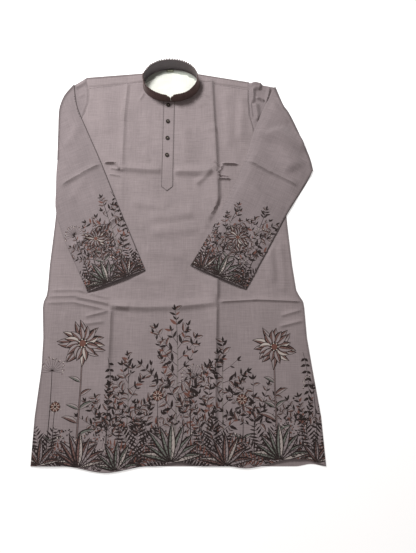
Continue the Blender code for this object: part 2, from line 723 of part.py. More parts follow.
def make_placket():
    """A strip with a pointed end, on the front's own plan, moved up."""
    grid = []
    for row in range(PLACKET_ROWS + 1):
        t = row / PLACKET_ROWS
        line = []
        for c in range(PLACKET_COLUMNS + 1):
            across = mix(-1.0, 1.0, c / PLACKET_COLUMNS)
            u = PLACKET_U + across * PLACKET_WIDTH / 2
            low = PLACKET_TIP_V + PLACKET_POINT * abs(across)
            turn = math.degrees(math.asin((u - NECK_U) / NECK_HALF_WIDTH))
            high = neck_point(turn).y - GAP
            line.append(Vector((u, mix(low, high, t))))
        grid.append(line)
    low = BODY_TOP + GAP
    skins = [[[(p.x, p.y, z + front_lift(p.x, p.y)) for p in row] for row in grid]
             for z in (low + PLACKET_CLOTH, low)]
    return wall("placket", *skins, CLOTH_COLOUR)


def make_button(number):
    """A turned button with a raised rim round a dished middle."""
    base = BODY_TOP + GAP + PLACKET_CLOTH + GAP
    centre = Vector((BUTTON_U, BUTTON_TOP_V - (number - 1) * BUTTON_PITCH, base))
    bm = bmesh.new()
    rings = []
    for wide, high in BUTTON_PROFILE:
        ring = []
        for step in range(BUTTON_STEPS):
            angle = 2 * math.pi * step / BUTTON_STEPS
            spot = Vector((math.cos(angle) * wide * BUTTON_RADIUS, math.sin(angle) * wide * BUTTON_RADIUS,
                           high * BUTTON_THICK))
            ring.append(bm.verts.new(centre + spot))
        rings.append(ring)
    for low, high in zip(rings, rings[1:]):
        for i in range(BUTTON_STEPS):
            j = (i + 1) % BUTTON_STEPS
            bm.faces.new((low[i], low[j], high[j], high[i]))
    bm.faces.new(rings[0])
    bm.faces.new(rings[-1])
    return finish(f"button_{number}", bm, BUTTON_COLOUR, BUTTON_ROUGHNESS)


def place(pieces):
    """Sets the garment with the middle of its box over the origin."""
    points = [piece.matrix_world @ v.co for piece in pieces for v in piece.data.vertices]
    middle = [(min(p[axis] for p in points) + max(p[axis] for p in points)) / 2 for axis in (0, 1)]
    garment = bpy.data.objects.new("garment", None)
    bpy.context.collection.objects.link(garment)
    garment.location = (-middle[0], -middle[1], 0.0)
    for piece in pieces:
        piece.parent = garment


def main():
    for old in list(bpy.data.objects):
        bpy.data.objects.remove(old)
    pieces = [make_back(), make_front()]
    pieces += [make_sleeve(name) for name in SLEEVES]
    pieces += [make_collar(), make_facing(), make_label(), make_placket()]
    pieces += [make_button(number) for number in (1, 2, 3, 4)]
    place(pieces)


main()
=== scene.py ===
"""A long-sleeved kurta tunic with a stand collar, laid flat on its back with both sleeves folded in.

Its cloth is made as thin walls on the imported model's own forms, with the creases of lying and packing, a
printed border of garden plants, sewing and turned buttons. Points are worked out in the garment's own
plan, in which u runs across from the placket's line and v runs up from the lowest point of the hem.
"""

import json
import math
import random

import bmesh
import bpy
from bpy.props import FloatProperty, FloatVectorProperty, IntProperty
from mathutils import Matrix, Vector, noise
from mathutils.geometry import delaunay_2d_cdt

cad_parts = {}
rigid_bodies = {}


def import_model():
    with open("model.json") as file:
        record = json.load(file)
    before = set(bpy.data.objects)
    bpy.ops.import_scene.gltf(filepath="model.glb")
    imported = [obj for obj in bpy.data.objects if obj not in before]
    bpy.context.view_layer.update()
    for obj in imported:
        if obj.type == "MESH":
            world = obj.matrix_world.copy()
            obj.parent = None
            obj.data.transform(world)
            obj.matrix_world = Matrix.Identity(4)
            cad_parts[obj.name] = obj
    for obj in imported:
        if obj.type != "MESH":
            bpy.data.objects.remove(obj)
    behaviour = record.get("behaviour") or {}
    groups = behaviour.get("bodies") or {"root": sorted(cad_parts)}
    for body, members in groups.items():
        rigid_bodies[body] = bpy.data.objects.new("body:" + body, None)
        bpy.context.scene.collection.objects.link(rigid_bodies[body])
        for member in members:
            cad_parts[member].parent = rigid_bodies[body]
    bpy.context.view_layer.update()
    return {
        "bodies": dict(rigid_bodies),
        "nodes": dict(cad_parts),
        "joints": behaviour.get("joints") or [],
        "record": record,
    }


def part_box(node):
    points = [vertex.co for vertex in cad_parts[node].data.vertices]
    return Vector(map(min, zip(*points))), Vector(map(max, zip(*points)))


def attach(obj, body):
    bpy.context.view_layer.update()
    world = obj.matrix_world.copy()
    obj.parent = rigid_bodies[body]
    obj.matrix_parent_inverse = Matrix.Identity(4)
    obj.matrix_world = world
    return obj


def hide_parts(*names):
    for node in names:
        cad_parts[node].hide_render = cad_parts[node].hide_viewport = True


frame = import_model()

bl_info = {
    "name": "Laid kurta tunic",
    "version": (1, 0, 0),
    "blender": (4, 5, 0),
    "location": "3D View > Sidebar > Kurta",
    "description": "Dresses the packed kurta tunic with its cloth, print, sewing and buttons",
    "category": "Add Mesh",
}

# Sizes in metres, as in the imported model, but with a slightly wider placket and slightly narrower buttons
CLOTH = 0.0010  # one layer of cloth
GAP = 0.0003  # between pieces, at seams and where they lie on each other
COLLAR_WALL = 0.0022
COLLAR_HEIGHT = 0.038
NOTCH_DEPTH = 0.014
NOTCH_HALF = 0.017
NOTCH_ROUND = 1.5  # how full the notch's curve is
NECK_U, NECK_V = 0.0080, 1.0026  # middle of the neck opening
NECK_HALF_WIDTH, NECK_HALF_DEPTH = 0.0800, 0.0546  # outside of the collar's base
RIM_HALF_WIDTH, RIM_HALF_DEPTH = 0.0743, 0.0573  # outside of the collar's rim
HEM_V, HEM_REACH = 0.0135, 0.120
UNDERARM_LEFT, UNDERARM_RIGHT = 0.785, 0.766
PLACKET_U, PLACKET_WIDTH, PLACKET_TIP_V = 0.0030, 0.0312, 0.681
PLACKET_POINT = 0.0140  # how far its end is pointed
PLACKET_CLOTH = 0.0012
BUTTON_U, BUTTON_TOP_V, BUTTON_PITCH = 0.0010, 0.9370, 0.0508
BUTTON_GAUGE, BUTTON_THICK = 0.0063, 0.0026  # a button's radius and its parts are shares of the gauge
LABEL_WIDTH, LABEL_DEPTH = 0.0200, 0.0090
LABEL_INSET = 0.0020  # between the label and the collar
LABEL_SHIFT = -0.0045  # of the label from the neck's middle line
FACING_INSET = 0.0022  # between the facing and the inside of the collar
CUFF_OPENING = 0.0030  # rise of the cuff's upper layer
CUFF_SLIP = 0.0070  # how far the cuff's lower layer shows past the upper one
CUFF_SKEW = 1.5  # above 1, the lower layer shows most near the cuff's inner end
COVER_FROM, COVER_RISE = 0.002, 0.006  # how the front rises again beside a sleeve
COVER_LOW = 0.370  # no sleeve reaches below this height
EDGE_SHARE, EDGE_RAMP = 0.15, 0.020  # how a crease fades towards the side edges
ARMHOLE_PULL = 0.15  # how far from an armhole its curve draws the rows of a panel
FOOT_STEP_DEG, FOOT_RAMP_DEG = 24.0, 10.0  # where the collar's foot steps down, from the centre back
LAYER = CLOTH + GAP
BODY_TOP = LAYER + CLOTH  # top of the front where it lies flat
TUBE_HALF = (2 * CLOTH + GAP) / 2  # half the height of a flattened sleeve
TUBE_LOW = TUBE_HALF
TUBE_HIGH = BODY_TOP + GAP + TUBE_HALF
WRAP_HALF = CLOTH / 2
WRAP_TURN = WRAP_HALF + GAP / 2  # radius of the middle line of the shoulder's fold
FOLD_REACH = WRAP_TURN + WRAP_HALF
SAG_RAMP = 0.030  # how gently a folded sleeve comes down to the floor beside the body
SAG_FROM_SIDE, SAG_FROM_LOWER = 0.014, 0.010  # how far past the body's side and the lower layer it starts
SLEEVE_SETBACK = 0.0030  # of a sleeve's first row from both ends of the armhole
NECK_FROM_DEG = 102.0  # how far round from the centre front the front's neckline runs
FOLD_NECK_V = 1.0440  # the shoulders' fold where it meets the neck
LOW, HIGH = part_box("neck_facing")
PLAN_MIDDLE = Vector((NECK_U - (LOW[0] + HIGH[0]) / 2, NECK_V - (LOW[1] + HIGH[1]) / 2, 0.0))  # the origin

SIDES = (  # v, left, right
    (0.000, -0.2870, 0.3758),
    (0.120, -0.2880, 0.3705),
    (0.229, -0.2825, 0.3565),
    (0.300, -0.2850, 0.3480),
    (0.372, -0.2930, 0.3455),
    (0.388, -0.2920, 0.3437),
    (0.403, -0.2862, 0.3345),
    (0.417, -0.2850, 0.3280),
    (0.480, -0.2855, 0.3210),
    (0.590, -0.2820, 0.3135),
    (0.700, -0.2810, 0.3100),
    (0.785, -0.2830, 0.3080),
)
ARMHOLE_LEFT = (  # v, u
    (0.7850, -0.2830),
    (0.8200, -0.2680),
    (0.8600, -0.2500),
    (0.9055, -0.2323),
    (0.9400, -0.2231),
    (0.9700, -0.2220),
    (0.9945, -0.2250),
    (1.0271, -0.2321),
)
ARMHOLE_RIGHT = (  # v, u
    (0.7660, 0.3080),
    (0.7900, 0.2800),
    (0.8200, 0.2550),
    (0.8549, 0.2370),
    (0.9087, 0.2250),
    (0.9500, 0.2235),
    (0.9913, 0.2252),
    (1.0124, 0.2257),
)
SEAM_LEFT, SEAM_RIGHT = 0.9945, 0.9913  # where each armhole meets the shoulder seam
HEM_WAVES = (  # u, rise, half_width, reach
    (-0.240, 0.0012, 0.060, 0.120),
    (0.045, 0.0036, 0.055, 0.110),
    (0.295, 0.0046, 0.075, 0.160),
)
HEM_LIFTS = (  # u, rise, half_width
    (0.045, 0.0095, 0.055),
    (0.300, 0.0170, 0.080),
)
HEM_DIPS = (  # u, drop, half_width
    (-0.119, 0.0135, 0.095),
    (0.195, 0.0040, 0.040),
    (0.342, -0.0050, 0.035),
)
SLEEVES = {
    "sleeve_left": {
        "out": -1.0,
        "fold": (  # u, v
            (-0.2661, 1.0029),
            (-0.2871, 0.9719),
            (-0.2967, 0.9433),
            (-0.2997, 0.9150),
            (-0.2966, 0.8570),
            (-0.2919, 0.7722),
        ),
        "stations": (  # inner_u, inner_v, outer_u, outer_v, bow
            (-0.2499, 0.9319, -0.2902, 0.7380, 0.0120),
            (-0.2150, 0.8520, -0.2872, 0.6860, 0.0060),
            (-0.1738, 0.7617, -0.2815, 0.6250, 0.0020),
            (-0.1229, 0.6412, -0.2549, 0.5500, 0.0),
            (-0.0850, 0.5555, -0.2200, 0.4810, 0.0),
            (-0.0460, 0.4666, -0.1852, 0.4110, 0.0),
        ),
    },
    "sleeve_right": {
        "out": 1.0,
        "fold": (  # u, v
            (0.2995, 0.9951),
            (0.3181, 0.9401),
            (0.3325, 0.9149),
            (0.3501, 0.8715),
            (0.3802, 0.7853),
            (0.3890, 0.7398),
        ),
        "stations": (  # inner_u, inner_v, outer_u, outer_v, bow
            (0.2758, 0.9527, 0.3800, 0.7240, 0.0100),
            (0.2374, 0.8592, 0.3640, 0.6960, 0.0050),
            (0.2079, 0.7617, 0.3360, 0.6520, 0.0),
            (0.1700, 0.6770, 0.3058, 0.6025, 0.0),
            (0.1200, 0.5740, 0.2560, 0.5110, 0.0),
            (0.0669, 0.4790, 0.2042, 0.4181, 0.0),
        ),
    },
}

# Creases. Each is a soft ridge with a start, an end, a height, and its widths to the left and to the right
# of the way from start to end. A sharp one is pressed to an edge along its middle, as by packing, where 0 is
# round and 1 is an edge. One with a height below 0 is a trough.
FRONT_CREASES = (  # u0, v0, u1, v1, height, left, right, sharp
    (-0.1135, 1.015, -0.1195, 0.880, 0.0046, 0.010, 0.016, 0.5),
    (-0.1190, 0.905, -0.1170, 0.740, 0.0044, 0.010, 0.016, 0.5),
    (-0.114, 0.760, -0.121, 0.420, 0.0014, 0.012, 0.014, 0.3),
    (-0.1242, 0.382, -0.1235, 0.215, 0.0066, 0.009, 0.016, 0.7),
    (-0.1238, 0.250, -0.1205, 0.030, 0.0044, 0.010, 0.016, 0.7),
    (0.1200, 1.030, 0.1285, 0.845, 0.0085, 0.0095, 0.050, 0.35),
    (0.1275, 0.880, 0.1352, 0.690, 0.0100, 0.0110, 0.045, 0.25),
    (0.1347, 0.722, 0.1352, 0.500, 0.0105, 0.0120, 0.045, 0.25),
    (0.1350, 0.538, 0.1320, 0.385, 0.0085, 0.0100, 0.040, 0.35),
    (0.1320, 0.418, 0.1250, 0.030, 0.0088, 0.0095, 0.035, 0.45),
    (0.160, 0.990, 0.166, 0.800, 0.0042, 0.034, 0.018, 0.0),
    (0.205, 0.975, 0.198, 0.820, 0.0044, 0.024, 0.018, 0.0),
    (-0.190, 0.990, -0.172, 0.840, 0.0044, 0.050, 0.014, 0.0),
    (-0.198, 0.7606, -0.1285, 0.7602, 0.0085, 0.008, 0.006, 0.8),
    (-0.1345, 0.7605, -0.1215, 0.7400, 0.0040, 0.005, 0.006, 0.6),
    (-0.150, 0.746, -0.110, 0.738, 0.0030, 0.006, 0.005, 0.6),
    (-0.152, 0.729, -0.116, 0.722, 0.0026, 0.006, 0.005, 0.6),
    (0.143, 0.7580, 0.212, 0.7562, 0.0080, 0.007, 0.005, 0.9),
    (0.137, 0.7265, 0.166, 0.7205, 0.0048, 0.006, 0.005, 0.8),
    (0.135, 0.7150, 0.184, 0.7148, 0.0062, 0.007, 0.005, 0.9),
    (0.124, 0.764, 0.150, 0.744, 0.0044, 0.006, 0.005, 0.7),
    (0.122, 0.750, 0.144, 0.720, 0.0044, 0.006, 0.006, 0.7),
    (0.152, 0.757, 0.136, 0.728, 0.0036, 0.005, 0.005, 0.6),
    (-0.140, 0.7470, 0.000, 0.7370, 0.0066, 0.024, 0.014, 0.35),
    (-0.025, 0.7350, 0.132, 0.7345, 0.0086, 0.026, 0.016, 0.3),
    (0.0785, 0.6985, 0.1225, 0.7400, 0.0050, 0.016, 0.012, 0.2),
    (0.047, 0.880, 0.050, 0.750, 0.0030, 0.024, 0.016, 0.0),
    (-0.062, 0.800, -0.046, 0.762, 0.0024, 0.012, 0.010, 0.2),
    (-0.060, 0.920, -0.052, 0.820, 0.0022, 0.020, 0.022, 0.0),
    (0.060, 0.965, 0.098, 0.930, 0.0026, 0.014, 0.012, 0.2),
    (-0.066, 0.978, -0.080, 0.950, 0.0024, 0.007, 0.008, 0.4),
    (0.094, 0.978, 0.114, 0.956, 0.0024, 0.007, 0.007, 0.4),
    (0.088, 0.955, 0.110, 0.934, 0.0020, 0.007, 0.007, 0.4),
    (-0.134, 0.3772, -0.034, 0.3716, 0.0072, 0.022, 0.014, 0.4),
    (-0.049, 0.3720, 0.051, 0.3752, 0.0066, 0.026, 0.015, 0.4),
    (0.036, 0.3744, 0.137, 0.3850, 0.0072, 0.022, 0.014, 0.4),
    (-0.116, 0.3752, -0.080, 0.3716, 0.0036, 0.014, 0.010, 0.3),
    (0.134, 0.386, 0.235, 0.392, 0.0044, 0.014, 0.007, 0.9),
    (0.215, 0.392, 0.346, 0.387, 0.0046, 0.014, 0.007, 0.9),
    (-0.291, 0.400, -0.200, 0.402, 0.0024, 0.010, 0.008, 0.5),
    (-0.218, 0.400, -0.122, 0.380, 0.0046, 0.012, 0.009, 0.5),
    (-0.278, 0.416, -0.195, 0.416, 0.0020, 0.009, 0.008, 0.5),
    (-0.212, 0.417, -0.128, 0.394, 0.0026, 0.009, 0.008, 0.5),
    (-0.290, 0.384, -0.205, 0.386, 0.0022, 0.009, 0.008, 0.5),
    (-0.220, 0.386, -0.128, 0.366, 0.0034, 0.009, 0.008, 0.6),
    (-0.188, 0.350, -0.126, 0.366, 0.0036, 0.009, 0.008, 0.5),
    (-0.216, 0.329, -0.136, 0.339, 0.0028, 0.009, 0.008, 0.4),
    (-0.240, 0.362, -0.226, 0.300, 0.0024, 0.010, 0.010, 0.2),
    (0.286, 0.352, 0.342, 0.368, 0.0034, 0.009, 0.008, 0.5),
    (0.280, 0.326, 0.346, 0.342, 0.0036, 0.010, 0.008, 0.5),
    (0.262, 0.560, 0.272, 0.430, 0.0044, 0.018, 0.020, 0.1),
    (0.292, 0.540, 0.300, 0.410, 0.0028, 0.014, 0.016, 0.1),
    (-0.090, 0.650, 0.010, 0.632, 0.0030, 0.024, 0.018, 0.0),
    (-0.046, 0.602, 0.080, 0.620, 0.0044, 0.030, 0.021, 0.0),
    (-0.044, 0.565, 0.096, 0.580, 0.0036, 0.030, 0.022, 0.0),
    (-0.060, 0.520, 0.060, 0.500, 0.0024, 0.030, 0.024, 0.0),
    (-0.085, 0.450, 0.020, 0.440, 0.0022, 0.028, 0.020, 0.0),
    (-0.232, 0.290, -0.200, 0.090, 0.0024, 0.030, 0.026, 0.0),
    (0.000, 0.300, 0.020, 0.080, 0.0024, 0.034, 0.030, 0.0),
    (0.250, 0.300, 0.262, 0.100, 0.0028, 0.030, 0.028, 0.0),
)
SLEEVE_CREASES = {
    "sleeve_left": (  # u0, v0, u1, v1, height, left, right, sharp
        (-0.162, 0.764, -0.276, 0.691, 0.0058, 0.012, 0.018, 0.8),
        (-0.108, 0.614, -0.244, 0.514, 0.0055, 0.011, 0.016, 0.8),
        (-0.262, 0.960, -0.272, 0.860, 0.0020, 0.016, 0.020, 0.0),
        (-0.232, 0.880, -0.276, 0.800, 0.0026, 0.022, 0.022, 0.0),
        (-0.200, 0.740, -0.250, 0.640, 0.0020, 0.022, 0.022, 0.0),
        (-0.150, 0.570, -0.205, 0.500, 0.0017, 0.018, 0.018, 0.0),
        (-0.215, 0.850, -0.190, 0.800, 0.0014, 0.014, 0.014, 0.0),
    ),
    "sleeve_right": (  # u0, v0, u1, v1, height, left, right, sharp
        (0.200, 0.770, 0.282, 0.726, 0.0058, 0.016, 0.008, 0.8),
        (0.268, 0.734, 0.344, 0.693, 0.0058, 0.016, 0.008, 0.8),
        (0.236, 0.862, 0.380, 0.806, 0.0095, 0.045, 0.036, 0.0),
        (0.285, 0.940, 0.330, 0.880, 0.0023, 0.016, 0.016, 0.1),
        (0.300, 0.960, 0.322, 0.925, 0.0026, 0.010, 0.008, 0.4),
        (0.225, 0.700, 0.270, 0.620, 0.0026, 0.022, 0.022, 0.0),
        (0.120, 0.600, 0.215, 0.560, 0.0032, 0.014, 0.010, 0.5),
        (0.150, 0.540, 0.205, 0.470, 0.0017, 0.018, 0.018, 0.0),
        (0.278, 0.860, 0.340, 0.730, 0.0105, 0.055, 0.036, 0.0),
        (0.236, 0.830, 0.092, 0.480, 0.0060, 0.085, 0.040, 0.0),
    ),
}
CREASE_TAPER = 0.15  # share of a crease's length over which each end fades
SHOULDER_CREASES = {
    "sleeve_left": (  # u0, v0, u1, v1, height, left, right, sharp
        (-0.232, 1.012, -0.262, 0.990, 0.0060, 0.009, 0.009, 0.4),
        (-0.230, 0.975, -0.262, 0.955, 0.0022, 0.009, 0.009, 0.3),
        (-0.236, 0.930, -0.252, 0.900, 0.0022, 0.009, 0.009, 0.3),
    ),
    "sleeve_right": (  # u0, v0, u1, v1, height, left, right, sharp
        (0.231, 1.004, 0.254, 0.999, 0.0110, 0.0075, 0.0063, 0.8),
        (0.259, 1.012, 0.252, 0.986, 0.0110, 0.0085, 0.0080, 0.6),
        (0.246, 1.036, 0.244, 0.984, 0.0125, 0.0170, 0.0160, 0.0),
        (0.236, 0.992, 0.234, 0.945, 0.0110, 0.0100, 0.0075, 0.5),
        (0.243, 0.960, 0.267, 0.950, 0.0125, 0.0075, 0.0050, 0.8),
        (0.240, 0.945, 0.246, 0.885, 0.0125, 0.0150, 0.0100, 0.4),
        (0.282, 0.995, 0.272, 0.940, 0.0125, 0.0070, 0.0080, 0.6),
        (0.226, 0.950, 0.232, 0.900, 0.0050, 0.0080, 0.0060, 0.4),
    ),
}
FACING_CREASES = (  # u0, v0, u1, v1, height, left, right, sharp
    (-0.050, 1.020, 0.020, 0.985, 0.0007, 0.012, 0.012, 0.2),
    (0.070, 1.010, 0.000, 0.975, 0.0006, 0.012, 0.012, 0.2),
    (-0.045, 0.985, 0.030, 1.000, 0.0005, 0.010, 0.010, 0.2),
)

# How finely the cloth is meshed
PANEL_PITCH = 0.0086
CREASE_STEP = 0.0065
CREASE_OFFSETS = (0.0, 0.10, 0.22, 0.38, 0.60, 0.85, 1.15)  # shares of a crease's half width
UNDER_PITCH = 0.014  # of a wall's hidden side
GRID_LEAST, EDGE_LEAST, CREASE_LEAST = 0.5, 0.6, 0.08  # least distances, in pitches, insets and crease widths
MERGE = 1e-5  # plan points as near as this become one
EDGE_STEP, EDGE_ROW_STEP = 0.004, 0.0035  # between the points of an edge, and of the rows inside it
EDGE_INSETS = (0.0013, 0.0030, 0.0055)  # of the rows of points inside an edge
ARMHOLE_STEPS, NECK_STEPS = 56, 70  # along the front's edge
BACK_SPREAD = -0.283, -0.060, 0.076, 0.308  # the u over the chest of the back's sides and of its neck
BACK_SHOULDER_STEPS, BACK_NECK_STEPS, BACK_BODY_ROWS, BACK_ARM_STEPS, BACK_FLAP_STEPS = 36, 28, 64, 24, 10
BACK_ROW_POWER = 1.15  # above 1, the back's rows are nearer together at the hem
WRAP_STEPS = 8  # round the shoulder's fold
SLEEVE_ACROSS, SLEEVE_LOW_ROWS, FOLD_STEPS, STATION_STEPS = 88, 38, 8, 10
PLACKET_ROWS, PLACKET_COLUMNS = 150, 16
COLLAR_STEPS, COLLAR_ROWS, RIM_STEPS = 396, 12, 4
FACING_PITCH, FACING_STEPS = 0.0035, 120
BAND_DEG, BAND_STEPS = (108, 262), 40  # where the facing's band of painted shade starts and ends round the collar
BAND_SHARE, BAND_GAIN, BAND_WAVES = 0.10, 0.14, 0.06  # its depth at its ends, what it gains, and its waves
BAND_FADES = 14, 6  # over how many steps from its ends it gains that
LABEL_PITCH, LABEL_UNDER_PITCH = 0.0012, 0.003
HEM_STEPS, CUFF_STEPS = 200, 60  # along the lines that the sewing follows
SHARP_DEG, COLLAR_SHARP_DEG = 50.0, 75  # an edge that turns by more than this is shaded as sharp

# Relief of the cloth
BANDS_PER_METRE = 40
BANDS = {}  # the creases of each table that reach a band of heights
UNDER_SHARE = 0.4  # of a crease that a wall's hidden side follows
SHOULDER_RAMP = 0.012  # over which the creases fade towards the shoulders' fold
PLACKET_FADE, NECK_FADE = 0.35, 0.15  # over which the creases fade beside the placket and the collar
BODY_RUMPLE, SLEEVE_RUMPLE, FACING_RUMPLE = 0.00110, 0.00080, 0.0003
RUMPLE_WIDE, RUMPLE_FINE = (11, 8), (34, 27)  # waves per metre across and up, of the two sizes of rumples
SLEEVE_SWELL, SWELL_REACH = 0.0030, 0.032  # how far a folded sleeve bulges, and how far in from its edges
SLEEVE_ROLL, ROLL_REACH = 0.0014, 0.0040  # how full a folded sleeve is at its long edges, and over what width
BODY_SWELL, BODY_SWELL_V = 0.0024, 0.46  # the same of the body's sides, below a height
BODY_SWELL_FROM, BODY_SWELL_FADES = 0.02, (0.08, 0.1)  # where it starts above the hem, and its fades
LINING_SHARE = 0.7  # of the swell that a sleeve's lining follows
TURNED_SHARE = 0.6  # of the crumples that a sleeve's long edge follows
CRUMPLE_SOFT = 0.028  # a crumple of this height is lowered to half
CRUMPLE_FROM = 0.001  # how near the folded part and the seam the crumples reach
CRUMPLE_FADES = 0.006, 0.005  # over which they fade there
CUFF_REACH = 0.075  # how far up the sleeve the cuff's opening reaches
SEAM_DIP, SEAM_HALF = 0.0010, 0.0026  # depth and half width of a seam's groove
WELT_RISE, WELT_HALF, WELT_SHIFT = 0.0009, 0.0035, 0.0050  # of the welts beside it
SEAM_MARGIN = 0.01  # how far below the underarms the seams' relief is still looked for
STITCH_DIP, PRESSED_EDGE, PUCKER = 0.00050, 0.0003, 0.00008  # depths on the placket
STITCH_DIP_HALF, PRESSED_HALF = 0.0016, 0.0010  # half widths of the first two
PUCKER_WAVES = 60, 210  # per metre across and down the placket
FACING_FROM_LABEL, FACING_TO_RIM = (0.003, 0.006), (0.9, 0.12)  # where the facing's creases end and fade
LABEL_DIP, LABEL_DIP_HALF = 0.0003, 0.0008  # of the label's edge
PICOT_PITCH, PICOT_HEIGHT = 0.0076, 0.0038  # of the bumps along the collar's rim
COLLAR_RIPPLE, PICOT_REACH = 0.0016, 0.0020  # waves of the collar, and how far its rim's bumps stand out
COLLAR_LENGTH = 0.430

# The print, and the shade painted on edges and folds
GRAIN = "grain"  # the map, in metres, that the weave follows
PRINT_AND_SHADE = "ink"  # the colour and the strength of what is printed, and of the shade painted on edges and folds
LINE, RUSSET, GREEN, CREAM = "line", "russet", "green", "cream"  # the print's inks
BARE = (0.0, 0.0, 0.0, 0.0)
EDGE_SHADE = 0.0060  # how far in from an edge its painted shade reaches
HEM_SHADE = 0.0004  # how far up the hem its painted shade reaches
BAND_INK = 0.66  # of the facing's band, the collar's shadow painted in grey green
PAINTED_SHADE = {  # strength of the dark ink painted as shade on edges and folds
    "hem": 0.55, "side": 0.50, "shoulder": 0.35, "placket": 0.40,
    "long edge": 0.60, "beside": 0.55, "fold": 0.45, "cuff": 0.60,
}
LINING_INK = (  # first, last, where it changes round the ring, over what share of it
    (0.55, 1.0, 0.32, 0.20),  # strength of the ink inside the collar
    (1.0, 0.50, 0.60, 0.20),  # share of its colour that is left, lower round the left side as painted shade
)
LABEL_FRAME = (0.0002, 0.90), (0.0026, 0.0)  # insets of its dark edge and of its bare middle, and their ink
BORDER_LIFT, CUFF_BORDER_LIFT = 0.003, 0.002  # of the border's ground above the hem and the cuff
UPRIGHT = math.pi / 2  # the heading of what grows straight up
SHORT_BLADE = 0.0075
FROND_LINE = 0.0011
UMBEL_RAYS = 13
HIDING_AREA = 0.00004  # a printed shape with a smaller box hides no other
FRONT_PLANTS = {  # by kind: x, lift, sizes
    "sapling": ((0.030, 0.0, 0.295, 0.10, 16, 0.019), (0.150, 0.0, 0.235, -0.08, 13, 0.018),
                (-0.080, 0.0, 0.215, 0.09, 12, 0.017)),
    "vine": ((-0.125, 0.250, 0.140, 0.013), (0.336, 0.235, 0.150, 0.013)),
    "shrub": ((-0.120, 0.060, 0.130, 7, 0.016), (0.095, 0.050, 0.120, 6, 0.016),
              (0.215, 0.060, 0.140, 7, 0.017), (0.335, 0.050, 0.110, 6, 0.015),
              (-0.035, 0.045, 0.110, 6, 0.015)),
    "umbel": ((-0.256, 0.0, 0.205, 0.05, 0.030), (0.075, 0.0, 0.185, -0.10, 0.028),
              (0.356, 0.0, 0.165, 0.06, 0.024)),
    "tall_flower": ((-0.190, 0.0, 0.272, 0.05, 0.058, 13), (0.270, 0.0, 0.250, -0.06, 0.054, 12)),
    "globe": ((-0.010, 0.0, 0.150, 0.10, 0.013), (-0.238, 0.0, 0.125, -0.12, 0.012),
              (0.185, 0.0, 0.145, 0.12, 0.013)),
    "berries": ((-0.150, 0.0, 0.150, 0.14, 16), (0.055, 0.0, 0.130, -0.14, 14),
                (0.320, 0.0, 0.130, 0.14, 14)),
    "fern": ((-0.262, 0.0, 0.085, 6), (-0.050, 0.0, 0.115, 7), (0.122, 0.0, 0.105, 7),
             (0.240, 0.0, 0.100, 6), (0.352, 0.0, 0.090, 6)),
    "bush": ((-0.215, 0.0, 0.075, 0.075, 110), (-0.145, 0.0, 0.080, 0.085, 130),
             (0.000, 0.0, 0.075, 0.075, 110), (0.075, 0.0, 0.060, 0.070, 90),
             (0.175, 0.0, 0.065, 0.070, 100), (0.300, 0.0, 0.080, 0.085, 130)),
    "clump": ((-0.180, 0.0, 0.072, 9), (-0.095, 0.0, 0.066, 7, CREAM, GREEN),
              (0.028, 0.0, 0.086, 9, CREAM, GREEN), (0.150, 0.0, 0.070, 7),
              (0.272, 0.0, 0.080, 9, CREAM, GREEN), (-0.268, 0.0, 0.055, 5), (0.355, 0.0, 0.050, 5)),
    "tuft": [(-0.278 + 0.0290 * i, 0.0, 0.026 + 0.006 * (i * 7 % 5), 5) for i in range(23)],
}
SLEEVE_PLANTS = {
    "sleeve_left": {  # by kind: x, lift, sizes
        "sapling": ((0.112, 0.0, 0.190, -0.05, 12, 0.016),),
        "vine": ((0.138, 0.230, 0.110, 0.011),),
        "shrub": ((0.040, 0.055, 0.105, 7, 0.013), (0.085, 0.040, 0.095, 6, 0.012)),
        "umbel": ((0.015, 0.0, 0.150, 0.05, 0.022),),
        "tall_flower": ((0.062, 0.0, 0.120, 0.04, 0.034, 12),),
        "berries": ((0.095, 0.0, 0.110, -0.14, 12),),
        "fern": ((0.128, 0.0, 0.075, 7), (0.018, 0.0, 0.070, 7)),
        "bush": ((0.085, 0.0, 0.060, 0.065, 90), (0.030, 0.0, 0.050, 0.055, 70),
                 (0.125, 0.0, 0.050, 0.050, 60)),
        "clump": ((0.055, 0.0, 0.065, 9, CREAM, GREEN), (0.105, 0.0, 0.050, 7)),
        "tuft": [(0.004 + 0.0115 * i, 0.0, 0.020 + 0.005 * (i * 7 % 5), 5) for i in range(13)],
    },
    "sleeve_right": {  # by kind: x, lift, sizes
        "sapling": ((0.118, 0.0, 0.180, 0.05, 12, 0.016), (0.050, 0.0, 0.165, -0.05, 10, 0.014)),
        "shrub": ((0.092, 0.050, 0.100, 7, 0.013), (0.020, 0.040, 0.080, 5, 0.012)),
        "umbel": ((0.136, 0.0, 0.140, 0.05, 0.020),),
        "tall_flower": ((0.080, 0.0, 0.112, -0.04, 0.034, 12),),
        "berries": ((0.030, 0.0, 0.110, 0.14, 12),),
        "fern": ((0.132, 0.0, 0.070, 7), (0.016, 0.0, 0.065, 7)),
        "bush": ((0.105, 0.0, 0.060, 0.065, 90), (0.040, 0.0, 0.060, 0.060, 80)),
        "clump": ((0.075, 0.0, 0.065, 9, CREAM, GREEN), (0.030, 0.0, 0.050, 7)),
        "tuft": [(0.004 + 0.0115 * i, 0.0, 0.020 + 0.005 * (i * 5 % 7), 5) for i in range(13)],
    },
}

